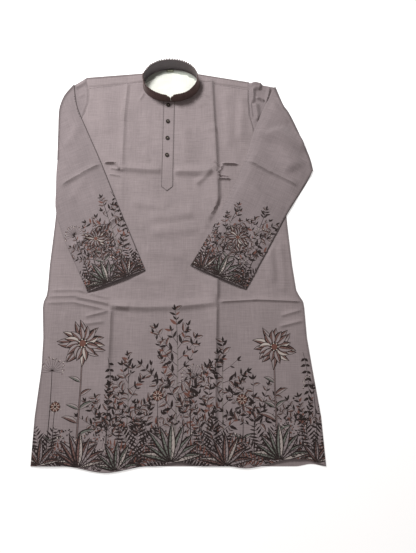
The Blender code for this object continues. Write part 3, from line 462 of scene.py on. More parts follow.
# Buttons and sewing
BUTTON_RADIUS = 0.86  # share of the gauge
BUTTON_RINGS = (0.20, 0.0), (0.12, 0.28), (0.16, 0.04)  # shares of the gauge inwards and of the height down
HOLE_SPREAD, HOLE_RADIUS = 0.18, 0.10  # of the holes, as shares of the gauge
THREAD_RADIUS, THREAD_SHIFT, THREAD_LENGTH = 0.05, 0.055, 2.9  # shares of the gauge, and of the holes' spread
THREAD_RISES = 0.24, 0.06  # of the lower threads, and of the upper ones over them, as shares of the height
ROUND_DEG = 40.0  # an edge that turns by more than this is rounded
STITCH_INSET = 0.0018  # of a seam's stitching from its edge
STITCH_HALF = 0.00055  # half a stitch's width
STITCH_LIFT = 0.00012  # of a stitch's middle line above the cloth
HEM_DEPTH, CUFF_DEPTH = 0.0180, 0.0150  # from the edge to its sewing
SEAM_INSET = 0.0022  # of the sewing beside the seams of the shoulders and the armholes
SEW_FROM = 0.004  # how near its line's end, or a sleeve, the sewing starts
PLACKET_SEWN_V = 0.9505  # how far up the placket's sides the sewing reaches

# The stage
GROUND_SIZE, GROUND_GAP = 8.0, 0.0002
ROOM_COLOUR, ROOM_STRENGTH = (1.0, 0.93, 0.90, 1.0), 0.36
LIGHTS = (  # name, place, size, power
    ("key", (-0.66, 0.99, 1.34), 0.50, 32.5),
    ("fill", (1.5, -1.2, 2.2), 2.5, 1.0),
)
CAMERA_PLACE, CAMERA_TILT_DEG, CAMERA_LENS = (0.0658, -0.3215, 1.005), 13.6, 27.0


# Small helpers


def ease(t):
    t = min(max(t, 0.0), 1.0)
    return t * t * (3 - 2 * t)


def mix(a, b, t):
    return a + (b - a) * t


def read(table, at, column=1):
    """A table's column at a value of its first column, in straight steps."""
    for low, high in zip(table, table[1:]):
        if at <= high[0]:
            return mix(low[column], high[column], max(0.0, (at - low[0]) / (high[0] - low[0])))
    return table[-1][column]


def smooth_path(points, t):
    """The point at share t, from 0 to 1, of a smooth curve through the points."""
    spans = len(points) - 1
    i = min(int(t * spans), spans - 1)
    f = t * spans - i
    p = [Vector(points[min(max(k, 0), spans)]) for k in (i - 1, i, i + 1, i + 2)]
    return 0.5 * (
        2 * p[1] + (p[2] - p[0]) * f + (2 * p[0] - 5 * p[1] + 4 * p[2] - p[3]) * f**2
        + (3 * p[1] - p[0] - 3 * p[2] + p[3]) * f**3
    )


def bell(distance, half_width):
    """1 on the middle line and 0 from the half width outwards, round at both."""
    return 1 - ease(abs(distance) / half_width)


def beside(u, v, start, end):
    """Distance to the left of a line from start to end. It is below 0 on the right."""
    line = (Vector(end) - Vector(start)).normalized()
    return line.x * (v - start[1]) - line.y * (u - start[0])


def heading(angle):
    return Vector((math.cos(angle), math.sin(angle)))


def reaches(points):
    """How far along a line of points each of them is."""
    reach = [0.0]
    for a, b in zip(points, points[1:]):
        reach.append(reach[-1] + (b - a).length)
    return reach


def even_path(points, step):
    """Points along a line through the given ones, about a step apart, with the given ones kept."""
    path = [Vector(points[0])]
    for a, b in zip(points, points[1:]):
        parts = max(1, round((Vector(b) - Vector(a)).length / step))
        path += [Vector(a).lerp(Vector(b), i / parts) for i in range(1, parts + 1)]
    return path


def creases_at(creases, v):
    """The creases that reach a band of the plan, kept for the next point in it."""
    key = id(creases), int(v * BANDS_PER_METRE)
    if key not in BANDS:
        low, high = key[1] / BANDS_PER_METRE, (key[1] + 1) / BANDS_PER_METRE
        BANDS[key] = [row for row in creases if min(row[1], row[3]) - max(row[5:7]) < high
                      and max(row[1], row[3]) + max(row[5:7]) > low]
    return BANDS[key]


def crease_height(creases, u, v):
    """Height of the creases' ridges, which fade out at both ends."""
    total = 0.0
    for u0, v0, u1, v1, height, left, right, sharp in creases_at(creases, v):
        du, dv = u1 - u0, v1 - v0
        way = ((u - u0) * du + (v - v0) * dv) / (du * du + dv * dv)
        near = min(max(way, 0.0), 1.0)
        wide = left if du * (v - v0) > dv * (u - u0) else right
        away = math.hypot(u - u0 - du * near, v - v0 - dv * near) / wide
        if away < 1:
            ends = ease(way / CREASE_TAPER) * ease((1 - way) / CREASE_TAPER)
            total += height * ends * mix(1 - ease(away), (1 - away) ** 2, sharp)
    return total


def rumple(u, v, seed, height):
    """Soft uneven relief of cloth that has lain folded, from 0 to about twice a height."""
    wide, fine = [noise.noise(Vector((u * across, v * up, seed + other)))
                  for (across, up), other in ((RUMPLE_WIDE, 0), (RUMPLE_FINE, 5))]
    return height * (1 + 0.75 * wide + 0.25 * fine)


# The garment's plan


def body_side(side, v):
    return read(SIDES, v, 1 if side < 0 else 2)


def hem_line(u):
    return HEM_V - sum(drop * bell(u - at, half) for at, drop, half in HEM_DIPS)


def front_hem_line(u):
    return hem_line(u) + sum(rise * bell(u - at, half) for at, rise, half in HEM_LIFTS)


def hem_shift(line, u, height):
    """How far a row follows the hem's own line. Rows above HEM_REACH run straight."""
    return (line(u) - HEM_V) * (1 - ease((height - HEM_V) / HEM_REACH))


def armhole(side, v):
    return read(ARMHOLE_LEFT if side < 0 else ARMHOLE_RIGHT, v)


def armhole_points(side, steps):
    """From the underarm to the shoulder seam, in equal steps of height."""
    low, high = (UNDERARM_LEFT, SEAM_LEFT) if side < 0 else (UNDERARM_RIGHT, SEAM_RIGHT)
    heights = [mix(low, high, i / steps) for i in range(steps + 1)]
    return [Vector((armhole(side, v), v)) for v in heights]


def sleeve_shape(side):
    return SLEEVES["sleeve_left" if side < 0 else "sleeve_right"]


def shoulder_end(side):
    """Where the armhole meets the shoulder's fold."""
    v, u = (ARMHOLE_LEFT if side < 0 else ARMHOLE_RIGHT)[-1]
    return Vector((u, v))


def neck_point(degrees, inset=0.0, rim=0.0):
    """A point of the collar's oval, counted from the centre front. rim is 0 at the base and 1 on top."""
    angle = math.radians(degrees)
    wide = mix(NECK_HALF_WIDTH, RIM_HALF_WIDTH, rim) - inset
    deep = mix(NECK_HALF_DEPTH, RIM_HALF_DEPTH, rim) - inset
    return Vector((NECK_U + wide * math.sin(angle), NECK_V - deep * math.cos(angle)))


def neck_share(u, v):
    """1 on the collar's oval, and less inside it."""
    return math.hypot((u - NECK_U) / NECK_HALF_WIDTH, (v - NECK_V) / NECK_HALF_DEPTH)


def sleeve_cover(u, v):
    """0 under a sleeve and up to 1 away from it, so that what lies under a sleeve is flat."""
    shown = 1.0
    if v < COVER_LOW:
        return shown
    for sleeve in SLEEVES.values():
        out, stations = sleeve["out"], sleeve["stations"]
        first, middle, last = sleeve["fold"][0], stations[2], stations[-1]
        past_inner = -out * beside(u, v, first, last[:2])
        past_cuff = -out * beside(u, v, last[:2], last[2:4])
        past_outer = out * beside(u, v, middle[2:4], last[2:4])
        shown = min(shown, ease((max(past_inner, past_cuff, past_outer) - COVER_FROM) / COVER_RISE))
    return shown


def front_lift(u, v, creased=1.0):
    """How far the front panel stands above lying flat. It lies flat under the placket and at its edges.

    creased is the share of the creases that is followed, because the hidden side of a ridge is flatter.
    """
    beside_placket = ease((abs(u - PLACKET_U) / PLACKET_WIDTH - 0.5) / PLACKET_FADE)
    below_placket = ease((PLACKET_TIP_V - v) / PLACKET_WIDTH)
    lift = crease_height(FRONT_CREASES, u, v) + rumple(u, v, 3.0, BODY_RUMPLE)
    lift *= creased * max(beside_placket, below_placket) * ease((neck_share(u, v) - 1.0) / NECK_FADE)
    for at, rise, half, reach in HEM_WAVES:
        lift += rise * bell(u - at, half) * (1 - ease((v - HEM_V) / reach))
    inside = min(u - body_side(-1, v), body_side(1, v) - u)
    lift *= mix(EDGE_SHARE, 1.0, ease(inside / EDGE_RAMP))
    lift += (BODY_SWELL * ease(inside / SWELL_REACH) * ease((BODY_SWELL_V - v) / BODY_SWELL_FADES[0])
             * ease((v - BODY_SWELL_FROM) / BODY_SWELL_FADES[1]))
    return lift * sleeve_cover(u, v)


def seam_relief(u, v):
    """The groove of the shoulder and the armhole seams, between two low welts."""
    near = 1.0
    for side in (-1, 1) if v > UNDERARM_RIGHT - SEAM_MARGIN else ():
        low, end = armhole_points(side, 1)
        if v > low.y - SEAM_MARGIN:
            near = min(near, abs(u - armhole(side, v)))
        across = (u - end.x) / (seam_end(side).x - end.x)
        if -0.05 < across < 1.05:
            near = min(near, abs(v - mix(end.y, seam_end(side).y, across)))
    return WELT_RISE * bell(near - WELT_SHIFT, WELT_HALF) - SEAM_DIP * bell(near, SEAM_HALF)


def seam_end(side):
    """Where the shoulder seam meets the neck."""
    return neck_point(side * NECK_FROM_DEG, COLLAR_WALL)


def fold_degrees():
    """Where the turned shoulder meets the neck, counted from the centre front."""
    return math.degrees(math.acos(-(FOLD_NECK_V - FOLD_REACH - NECK_V) / (NECK_HALF_DEPTH - COLLAR_WALL)))


def fold_point(side, t):
    """The shoulder's fold, from the armhole at 0 to the neck at 1."""
    neck = neck_point(side * fold_degrees(), COLLAR_WALL)
    return shoulder_end(side).lerp(Vector((neck.x, FOLD_NECK_V)), t)


# Cloth as closed walls


class Spread:
    """Plan points, none nearer than a least distance to one that is already there."""

    def __init__(self, least):
        self.least = least
        self.cells = {}
        self.points = []

    def add(self, point, keep=False):
        i, j = int(point.x // self.least), int(point.y // self.least)
        near = [p for a in (-1, 0, 1) for b in (-1, 0, 1) for p in self.cells.get((i + a, j + b), ())]
        if keep or all((p - point).length >= self.least for p in near):
            self.cells.setdefault((i, j), []).append(point)
            if not keep:
                self.points.append(point)

    def take(self, other):
        """Takes another spread's points, however near they are."""
        for point in other.points:
            self.cells.setdefault((int(point.x // self.least), int(point.y // self.least)), []).append(point)
        self.points += other.points


def nearest(spread, u, v):
    """Distance to the nearest of a spread's points, up to its least distance."""
    cell = int(u // spread.least), int(v // spread.least)
    near = spread.least
    for a in (-1, 0, 1):
        for b in (-1, 0, 1):
            for p in spread.cells.get((cell[0] + a, cell[1] + b), ()):
                near = min(near, math.hypot(p.x - u, p.y - v))
    return near


def spread_points(loop, creases, pitch, insets=()):
    """Points inside a loop: rows along its edge and along each crease, and an even grid between them."""
    spread = Spread(pitch * GRID_LEAST)
    for point in loop:
        spread.add(point, keep=True)
    order = anticlockwise(loop, range(len(loop)))
    for inset in insets:
        fine = Spread(inset * EDGE_LEAST)
        for a, b in pairs(order):
            way = (loop[b] - loop[a]).normalized()
            parts = max(1, round((loop[b] - loop[a]).length / EDGE_ROW_STEP))
            for i in range(parts):
                fine.add(loop[a].lerp(loop[b], (i + 0.5) / parts) + Vector((-way.y, way.x)) * inset)
        spread.take(fine)
    for u0, v0, u1, v1, _, left, right, _ in creases:
        start, end = Vector((u0, v0)), Vector((u1, v1))
        line = end - start
        across = Vector((-line.y, line.x)).normalized()
        steps = max(2, round(line.length / CREASE_STEP))
        fine = Spread(min(left, right) * CREASE_LEAST)
        for share in CREASE_OFFSETS:
            for wide in (left, -right) if share else (left,):
                for i in range(steps + 1):
                    fine.add(start + line * (i / steps) + across * share * wide)
        spread.take(fine)
    us, vs = [p.x for p in loop], [p.y for p in loop]
    rows, columns = int((max(vs) - min(vs)) / pitch), int((max(us) - min(us)) / pitch)
    for r in range(1, rows + 1):
        for c in range(columns + 1):
            shift = pitch / 2 if r % 2 else 0.0
            spread.add(Vector((min(us) + c * pitch + shift, min(vs) + r * pitch)))
    return spread.points


def anticlockwise(points, ids):
    """The numbers of a loop's points, in anticlockwise order."""
    ids = list(ids)
    twice = sum(points[a].cross(points[b]) for a, b in pairs(ids))
    return ids if twice > 0 else ids[::-1]


def patch(loop, inner, shapes=()):
    """Triangles over the plan inside a loop, cut along the outlines of printed shapes.

    It gives the plan points, which of the given loop and inner points each one is, if any, the triangles,
    and the number of the shape on top of each, or -1.
    """
    points = [*loop, *inner]
    given = len(points)
    areas = [anticlockwise(points, range(len(loop)))]
    boxes = [extent(shape[0]) for shape in shapes]
    for shape in shapes:
        points += shape[0]
        areas.append(anticlockwise(points, range(len(points) - len(shape[0]), len(points))))
    plan, _, faces, from_points, _, from_areas = delaunay_2d_cdt(points, [], areas, 0, MERGE, True)
    origins = [min((k for k in ids if k < given), default=None) for ids in from_points]
    kept = []
    for face, ids in zip(faces, from_areas):
        if 0 in ids:
            at = sum((plan[i] for i in face), Vector((0.0, 0.0))) / len(face)
            over = (k - 1 for k in ids if k and within(at, boxes[k - 1]))
            kept.append((face, max(over, default=-1)))
    return plan, origins, kept


def extent(points):
    """The least and the greatest of both directions."""
    us, vs = [p.x for p in points], [p.y for p in points]
    return min(us), min(vs), max(us), max(vs)


def pairs(ring):
    """Each item of a ring with the one after it."""
    return zip(ring, (*ring[1:], ring[0]))


def open_edges(faces):
    """The edges that only one face has, each in that face's direction."""
    ways = {way for face in faces for way in pairs(face)}
    return sorted((a, b) for a, b in ways if (b, a) not in ways)


def within(at, box):
    return box[0] <= at.x <= box[2] and box[1] <= at.y <= box[3]


def edge_loop(faces):
    """The points round the outside of a sheet of faces, in order."""
    following = dict(open_edges(faces))
    loop = [min(following)]
    while following[loop[-1]] != loop[0]:
        loop.append(following[loop[-1]])
    return loop


class Cloth:
    """The points and faces of one closed wall of cloth, with what is printed on each face and the shade
    painted on some.
    """

    def __init__(self):
        self.points, self.faces, self.inks = [], [], []

    def point(self, place):
        self.points.append(Vector(place))
        return len(self.points) - 1

    def face(self, ids, ink=BARE):
        self.faces.append(tuple(ids))
        self.inks.append(ink)

    def grid(self, rows, ring=False, cells=None):
        """Points and faces of a grid. A ring joins its last column to its first."""
        ids = [[self.point(p) for p in row] for row in rows]
        for r in range(len(ids) - 1):
            for c in range(len(ids[0]) if ring else len(ids[0]) - 1):
                if cells is None or (r, c) in cells:
                    d = (c + 1) % len(ids[0])
                    self.face((ids[r][c], ids[r][d], ids[r + 1][d], ids[r + 1][c]))
        return ids

    def close(self, partner):
        """Joins the open edges of a skin to those of its partner."""
        for a, b in open_edges(self.faces):
            if a in partner and b in partner:
                self.face((b, a, partner[a], partner[b]))

    def darken(self, points, inks, strength):
        """Inks the bare faces at some points dark, as painted shade at the edge of a fold."""
        for k, face in enumerate(self.faces):
            if self.inks[k] is BARE and any(i in points for i in face):
                self.inks[k] = (*inks[LINE], strength)

    def shade_edge(self, edge, inks, strength):
        """Inks the bare faces beside an edge's points with painted shade, less and less up to EDGE_SHADE
        away.
        """
        near = Spread(EDGE_SHADE)
        for point in edge:
            near.add(point, keep=True)
        for k, face in enumerate(self.faces):
            if self.inks[k] is BARE:
                middle = sum((self.points[i] for i in face), Vector()) / len(face)
                away = nearest(near, middle.x, middle.y) / EDGE_SHADE
                if away < 1:
                    self.inks[k] = (*inks[LINE], strength * (1 - away))

    def build(self, name, finish, grain=0.0, sharp=SHARP_DEG):
        """Makes the piece. Its grain is turned by an angle in the plan."""
        used = sorted({i for face in self.faces for i in face})
        number = {old: new for new, old in enumerate(used)}
        mesh = bpy.data.meshes.new(name)
        places = [self.points[i] - PLAN_MIDDLE for i in used]
        mesh.from_pydata(places, [], [[number[i] for i in face] for face in self.faces])
        bm = bmesh.new()
        bm.from_mesh(mesh)
        bmesh.ops.recalc_face_normals(bm, faces=bm.faces)
        bm.to_mesh(mesh)
        bm.free()
        turn = Matrix.Rotation(-grain, 2)
        flat = [turn @ self.points[i].xy for i in used]
        corners = [0] * len(mesh.loops)
        mesh.loops.foreach_get("vertex_index", corners)
        layer = mesh.uv_layers.new(name=GRAIN)
        layer.data.foreach_set("uv", [value for i in corners for value in flat[i]])
        ink = mesh.color_attributes.new(PRINT_AND_SHADE, "FLOAT_COLOR", "CORNER")
        ink.data.foreach_set("color", [value for face, colour in zip(self.faces, self.inks)
                                       for _ in face for value in colour])
        return finish_piece(name, mesh, finish, sharp)


def finish_piece(name, mesh, finish, sharp=SHARP_DEG):
    """An object of a mesh, shaded smoothly but for its sharp edges, with its finish."""
    mesh.shade_smooth()
    mesh.set_sharp_from_angle(angle=math.radians(sharp))
    mesh.materials.clear()
    mesh.materials.append(finish)
    piece = bpy.data.objects.new(name, mesh)
    bpy.context.scene.collection.objects.link(piece)
    return piece


def plate(cloth, plan, kept, colours, top, low, under=UNDER_PITCH):
    """A wall over a patch of plan, coloured on top by its shapes of print and of painted shade, between two
    heights that are functions of the plan.
    """
    ids = [None] * len(plan)
    for face, shape in kept:
        for i in face:
            if ids[i] is None:
                ids[i] = cloth.point((*plan[i], top(*plan[i])))
        cloth.face([ids[i] for i in face], colours[shape])
    rim = edge_loop([face for face, _ in kept])
    edge = [plan[i] for i in rim]
    below, below_origins, below_kept = patch(edge, spread_points(edge, (), under))
    low_ids = {}
    for face, _ in below_kept:
        for i in face:
            if i not in low_ids:
                low_ids[i] = cloth.point((*below[i], low(*below[i])))
        cloth.face([low_ids[i] for i in reversed(face)])
    partner = {ids[rim[below_origins[i]]]: k for i, k in low_ids.items()
               if below_origins[i] is not None and below_origins[i] < len(rim)}
    cloth.close(partner)


# The printed border


class Border:
    """Printed shapes in drawing order. Later ones cover earlier ones."""

    def __init__(self, seed, corner, across):
        self.random = random.Random(seed)
        self.corner = Vector(corner)
        self.across = Vector(across).normalized()
        self.up = Vector((-self.across.y, self.across.x))
        self.shapes = []

    def shape(self, points, ink, strength=1.0):
        plan = [self.corner + self.across * p.x + self.up * p.y for p in points]
        self.shapes.append((plan, ink, strength))

    def seen(self):
        """The shapes, without those that a later one hides whole."""
        boxes = [extent(s[0]) for s in self.shapes]
        wide = [i for i, b in enumerate(boxes) if (b[2] - b[0]) * (b[3] - b[1]) > HIDING_AREA]
        kept = []
        for i, shape in enumerate(self.shapes):
            low_u, low_v, high_u, high_v = boxes[i]
            over = (self.shapes[j][0] for j in wide if j > i and boxes[j][0] < low_u and boxes[j][1] < low_v
                    and boxes[j][2] > high_u and boxes[j][3] > high_v)
            if not any(all(inside(other, p) for p in shape[0]) for other in over):
                kept.append(shape)
        return kept

    def vary(self, value, share=0.25):
        return value * self.random.uniform(1 - share, 1 + share)

    def curve(self, base, angle, length, bend, steps):
        """Points along an arc that starts at an angle and turns by bend."""
        path = [base]
        for i in range(steps):
            path.append(path[-1] + heading(angle + bend * (i + 0.5) / steps) * (length / steps))
        return path

    def stroke(self, path, wide, thin, ink=LINE, strength=1.0):
        """A line that narrows along its path."""
        sides = [], []
        last = len(path) - 1
        for i, p in enumerate(path):
            way = (path[min(i + 1, last)] - path[max(i - 1, 0)]).normalized()
            side = Vector((-way.y, way.x)) * mix(wide, max(thin, 0.0002), i / last) / 2
            sides[0].append(p + side)
            sides[1].append(p - side)
        self.shape(sides[0] + sides[1][::-1], ink, strength)

    def stem(self, base, height, lean, turn, steps, wide, thin):
        """A stem that leans to one side and turns back to the other."""
        path = self.curve(base, UPRIGHT - lean, height, lean * turn, steps)
        self.stroke(path, wide, thin)
        return path

    def blade(self, base, angle, length, width, ink=LINE):
        """A small pointed leaf in one ink, with fewer points if it is short."""
        way = heading(angle)
        side, tip = Vector((-way.y, way.x)) * width / 2, way * length
        shares = ((0.45, 1.0),) if length < SHORT_BLADE else ((0.3, 1.0), (0.65, 0.8))
        right = [base + tip * share - side * wide for share, wide in shares]
        left = [base + tip * share + side * wide for share, wide in reversed(shares)]
        self.shape([base, *right, base + tip, *left], ink)

    def leaf(self, base, angle, length, width, fill, shade, bend, line=0.0009, steps=5, light=0.10):
        """An outlined leaf: a light half, and a half shaded by its thick edge, its fill and hatching."""
        spine = self.curve(base, angle, length, bend, steps)
        widths = [width / 2 * math.sin(math.pi * (i / steps) ** 0.8) for i in range(steps + 1)]
        turns = [angle + bend * i / steps for i in range(steps + 1)]
        across = [Vector((-math.sin(turn), math.cos(turn))) for turn in turns]

        def along(side, share, reach):
            least = line * (0.6 if share else 0.3)
            edge = [p + a * side * max(w * share + reach, least) for p, a, w in zip(spine, across, widths)]
            return edge[1:-1]

        tip = spine[-1] + heading(angle + bend) * line
        self.shape([spine[0], *along(-1, 1.0, line), tip, *along(1, 1.0, line)[::-1]], LINE)
        root = spine[0].lerp(spine[1], 0.25), spine[-1].lerp(spine[-2], 0.2)
        dark, pale = along(1, 0.72, -line * 0.2), along(-1, 1.0, -line * 0.2)
        self.shape([root[0], *along(1, 0.0, line * 0.4), root[1], *dark[::-1]], shade, 0.82)
        self.shape([root[0], *along(-1, 0.0, line * 0.4), root[1], *pale[::-1]], fill, light)
        for i in range(1, steps):
            if widths[i] > 0.0022:
                half = (spine[i] - spine[i - 1]).normalized() * line * 0.45
                self.shape([dark[i - 1] - half, dark[i - 1] + half, spine[i]], LINE)

    def dot(self, centre, radius, ink=LINE, corners=6, strength=1.0):
        turn = self.random.random()
        self.shape([centre + heading(math.tau * (i + turn) / corners) * radius for i in range(corners)],
                   ink, strength)

    def bloom(self, centre, radius, petals):
        """A daisy with two rounds of outlined petals about a dotted eye."""
        for turn, size in ((0.0, 1.0), (0.5, 0.72)):
            for i in range(petals):
                angle = math.tau * (i + turn) / petals
                way = Vector((math.cos(angle), math.sin(angle) * 0.9))
                reach = self.vary(radius, 0.12) * way.length * size
                self.leaf(centre + way.normalized() * radius * 0.14, math.atan2(way.y, way.x), reach * 0.86,
                          radius * 3.0 / petals, CREAM, RUSSET, self.random.uniform(-0.7, 0.7), 0.0012, 5,
                          0.50 if (i + turn) % 5 < 0.6 else 0.06)
        self.dot(centre, radius * 0.20, LINE, 10)
        self.dot(centre, radius * 0.14, RUSSET, 8)
        for i in range(7):
            self.dot(centre + heading(math.tau * i / 7) * radius * 0.16, radius * 0.03, CREAM, 4)

    def frond(self, base, angle, length, bend, pairs, reach, ink):
        """A fern's frond."""
        spine = self.curve(base, angle, length, bend, pairs + 1)
        self.stroke(spine, FROND_LINE, FROND_LINE * 0.3)
        for i in range(1, pairs + 1):
            t = i / (pairs + 1)
            size = reach * math.sin(math.pi * (0.12 + 0.86 * t)) ** 0.8
            way = angle + bend * t
            for side in (-1, 1):
                self.blade(spine[i], way + side * self.vary(1.05, 0.12), self.vary(size, 0.1),
                           min(size * 0.26, length / pairs * 0.50), ink)

    def fern(self, base, length, fronds):
        """A tuft of fronds."""
        for i in range(fronds):
            t = i / (fronds - 1) - 0.5
            size = self.vary(length * (1 - 0.5 * abs(t)), 0.1)
            self.frond(base, UPRIGHT + t * 2.2, size, t * 1.5, int(size / 0.0082), size * 0.26,
                       RUSSET if i % 4 == 1 else LINE)

    def twig(self, base, angle, length, leaf, bend, pairs):
        """A twig with paired leaves, dark ones between outlined ones."""
        spine = self.curve(base, angle, length, bend, pairs)
        self.stroke(spine, 0.0013, 0.0006)
        for i in range(1, pairs + 1):
            way = angle + bend * i / pairs
            for side in (-1, 1):
                size = self.vary(leaf * (1 - 0.30 * i / pairs), 0.35)
                turn = way + side * self.vary(0.80, 0.4)
                kind = self.random.random()
                if kind < 0.55:
                    self.blade(spine[i], turn, size, size * 0.33, RUSSET if kind < 0.10 else LINE)
                elif kind < 0.92:
                    self.leaf(spine[i], turn, size * 1.15, size * 0.44, CREAM, RUSSET, side * 0.5, 0.0007, 4)
        self.blade(spine[-1], angle + bend, leaf * 0.8, leaf * 0.30)

    def sapling(self, base, height, lean, twigs, leaf):
        """A young tree with a double-lined stem and twigs to both sides."""
        stem = self.stem(base, height, lean, 1.6, 8, 0.0038, 0.0014)
        self.stroke(stem[:-1], 0.0016, 0.0005, CREAM, 0.45)
        for i in range(twigs):
            t = 0.26 + 0.72 * i / twigs
            at = smooth_path(stem, t)
            side = 1 if i % 2 else -1
            size = self.vary(height * 0.34 * math.sin(math.pi * (0.20 + 0.72 * t)), 0.35)
            self.twig(at, UPRIGHT - side * self.vary(0.95, 0.35), size, leaf, side * self.vary(0.5, 0.6),
                      max(2, int(size / (leaf * 0.80))))
        self.twig(stem[-1], UPRIGHT + lean * 0.6, height * 0.16, leaf, 0.1, 4)

    def tall_flower(self, base, height, lean, radius, petals):
        """A tall daisy with long leaves up its stem."""
        stem = self.stem(base, height, lean, 1.8, 9, 0.0048, 0.0034)
        self.stroke(stem[:-1], 0.0022, 0.0014, RUSSET, 0.4)
        for i in range(1, 7):
            for side in (-1, 1):
                if (i + side) % 3 != 1:
                    size = self.vary(radius * mix(0.95, 0.45, i / 7), 0.15)
                    self.leaf(stem[i], UPRIGHT - side * self.vary(0.75, 0.2), size, size * 0.26, CREAM,
                              RUSSET if i % 2 else GREEN, -side * 0.7)
        self.bloom(stem[-1], radius, petals)

    def umbel(self, base, height, lean, radius):
        """A stem with a head of fine rays that end in small florets."""
        stem = self.stem(base, height, lean, 2, 6, 0.0022, 0.0013)
        for i in range(UMBEL_RAYS):
            angle = UPRIGHT + (i / (UMBEL_RAYS - 1) - 0.5) * 3.6
            tip = self.vary(radius, 0.14)
            self.stroke(self.curve(stem[-1], angle, tip, 0.2 * math.cos(angle), 2), 0.0008, 0.0005)
            end = stem[-1] + heading(angle) * tip
            for k in range(5):
                self.dot(end + heading(self.random.uniform(0, math.tau)) * self.random.uniform(0, 0.0034),
                         self.vary(0.0010), (LINE, RUSSET, LINE, CREAM, LINE)[k], 5)

    def tuft(self, base, height, blades):
        """Grass."""
        for i in range(blades):
            t = i / (blades - 1) - 0.5
            self.stroke(self.curve(base + Vector((t * height * 0.12, 0.0)), UPRIGHT - t * 1.5,
                                   self.vary(height), -t * 1.3, 3), 0.0017, 0.0003)

    def clump(self, base, length, leaves, fill=CREAM, shade=RUSSET):
        """Broad leaves from one root."""
        for i in sorted(range(leaves), key=lambda i: -abs(i - (leaves - 1) / 2)):
            t = i / (leaves - 1) - 0.5
            size, angle = self.vary(length * (1 - 0.35 * abs(t)), 0.1), UPRIGHT - t * 2.3
            self.leaf(base, angle, size, size * 0.19, fill, shade, -t * 0.9, 0.0019, 6, 0.0 if i % 4 else 0.4)
            spine = self.curve(base, angle, size, -t * 0.9, 8)
            for k in range(2, 7):
                way = angle - t * 0.9 * k / 8
                self.stroke([spine[k], spine[k] + heading(way - 0.55) * size * 0.10], 0.0011, 0.0003)

    def bush(self, base, width, height, count):
        """Small leaves and berries over fine stems."""
        for i in range(5):
            t = i / 4 - 0.5
            self.stroke(self.curve(base, UPRIGHT - t * 1.4, height * 0.8, t * 0.3, 3), 0.0011, 0.0004)
        for i in range(count):
            angle, reach = self.random.uniform(0, math.tau), math.sqrt(self.random.random())
            at = base + Vector((math.cos(angle) * reach * width / 2,
                                height * 0.55 + math.sin(angle) * reach * height * 0.45))
            kind = self.random.random()
            if kind < 0.80:
                self.blade(at, self.random.uniform(0.2, 2.9), self.vary(0.0062), self.vary(0.0028),
                           LINE if kind < 0.62 else RUSSET)
            elif kind < 0.92:
                self.dot(at, self.vary(0.0014), LINE, 5)
            else:
                self.dot(at, self.vary(0.0013), CREAM, 5, 0.7)

    def shrub(self, base, height, twigs, leaf):
        """Leafy twigs that fan out from a short stem."""
        stem = self.curve(base, UPRIGHT, height * 0.3, self.random.uniform(-0.3, 0.3), 3)
        self.stroke(stem, 0.0022, 0.0014)
        for i in range(twigs):
            t = i / (twigs - 1) - 0.5
            size = self.vary(height * 0.72 * (1 - 0.45 * abs(t)), 0.12)
            self.twig(smooth_path(stem, self.random.uniform(0.4, 1.0)), UPRIGHT - t * 2.6, size, leaf,
                      t * 0.7, max(3, int(size / (leaf * 0.74))))

    def vine(self, base, length, leaf):
        """A string of leaves that hangs down."""
        path = self.curve(base, -UPRIGHT + 0.25, length, -0.5, 10)
        self.stroke(path, 0.0010, 0.0005)
        for i in range(1, 11):
            for side in (-1, 1):
                if self.random.random() < 0.8:
                    self.blade(path[i], -UPRIGHT + side * self.vary(1.0), self.vary(leaf), leaf * 0.5)

    def berries(self, base, height, lean, count):
        """A bending spray with berries at the ends of short stalks."""
        spine = self.stem(base, height, lean, 2.4, 7, 0.0012, 0.0005)
        for i in range(count):
            at = smooth_path(spine, 0.4 + 0.6 * i / count)
            end = at + heading(self.random.uniform(0.3, 2.9)) * self.vary(0.008)
            self.stroke([at, end], 0.0006, 0.0005)
            self.dot(end, self.vary(0.0021), LINE if i % 3 else RUSSET, 7)

    def globe(self, base, height, lean, radius):
        """A thistle-like round head."""
        stem = self.stem(base, height, lean, 1.5, 5, 0.0017, 0.0012)
        self.dot(stem[-1], radius, LINE, 12)
        self.dot(stem[-1], radius * 0.86, RUSSET, 12)
        for i in range(16):
            way = heading(math.tau * i / 16)
            self.stroke([stem[-1] + way * radius * 0.25, stem[-1] + way * radius * self.vary(1.2, 0.1)],
                        0.0010, 0.0004, (LINE, CREAM)[i % 2])
        self.dot(stem[-1], radius * 0.22, LINE, 7)
        for side in (-1, 1):
            self.leaf(stem[2], UPRIGHT - side * 0.8, radius * 1.9, radius * 0.55, CREAM, GREEN, -side * 0.6)


def shape_colours(shapes, inks):
    """The ink and the strength of each shape, with bare cloth as the last."""
    return [(*inks[ink], strength) for _, ink, strength in shapes] + [BARE]


def draw(border, table, ground):
    """Draws a table's plants on the ground line, one kind after another."""
    for kind, rows in table.items():
        for x, lift, *sizes in rows:
            getattr(border, kind)(Vector((x, ground(x) + lift)), *sizes)


# Body panels


def fold_line(side, u):
    """The v of the shoulder's fold over a point."""
    end, neck = fold_point(side, 0.0), fold_point(side, 1.0)
    return mix(end.y, neck.y, (u - end.x) / (neck.x - end.x))


def body_lift(u, v, creased=1.0):
    """The front's relief, carried over the shoulder seam and gone at the shoulder's fold."""
    side = -1 if u < NECK_U else 1
    return front_lift(u, v, creased) * ease((fold_line(side, u) - FOLD_REACH - v) / SHOULDER_RAMP)


def body_top(u, v):
    return BODY_TOP + body_lift(u, v) + seam_relief(u, v)


def body_under(u, v):
    return LAYER + body_lift(u, v, UNDER_SHARE)


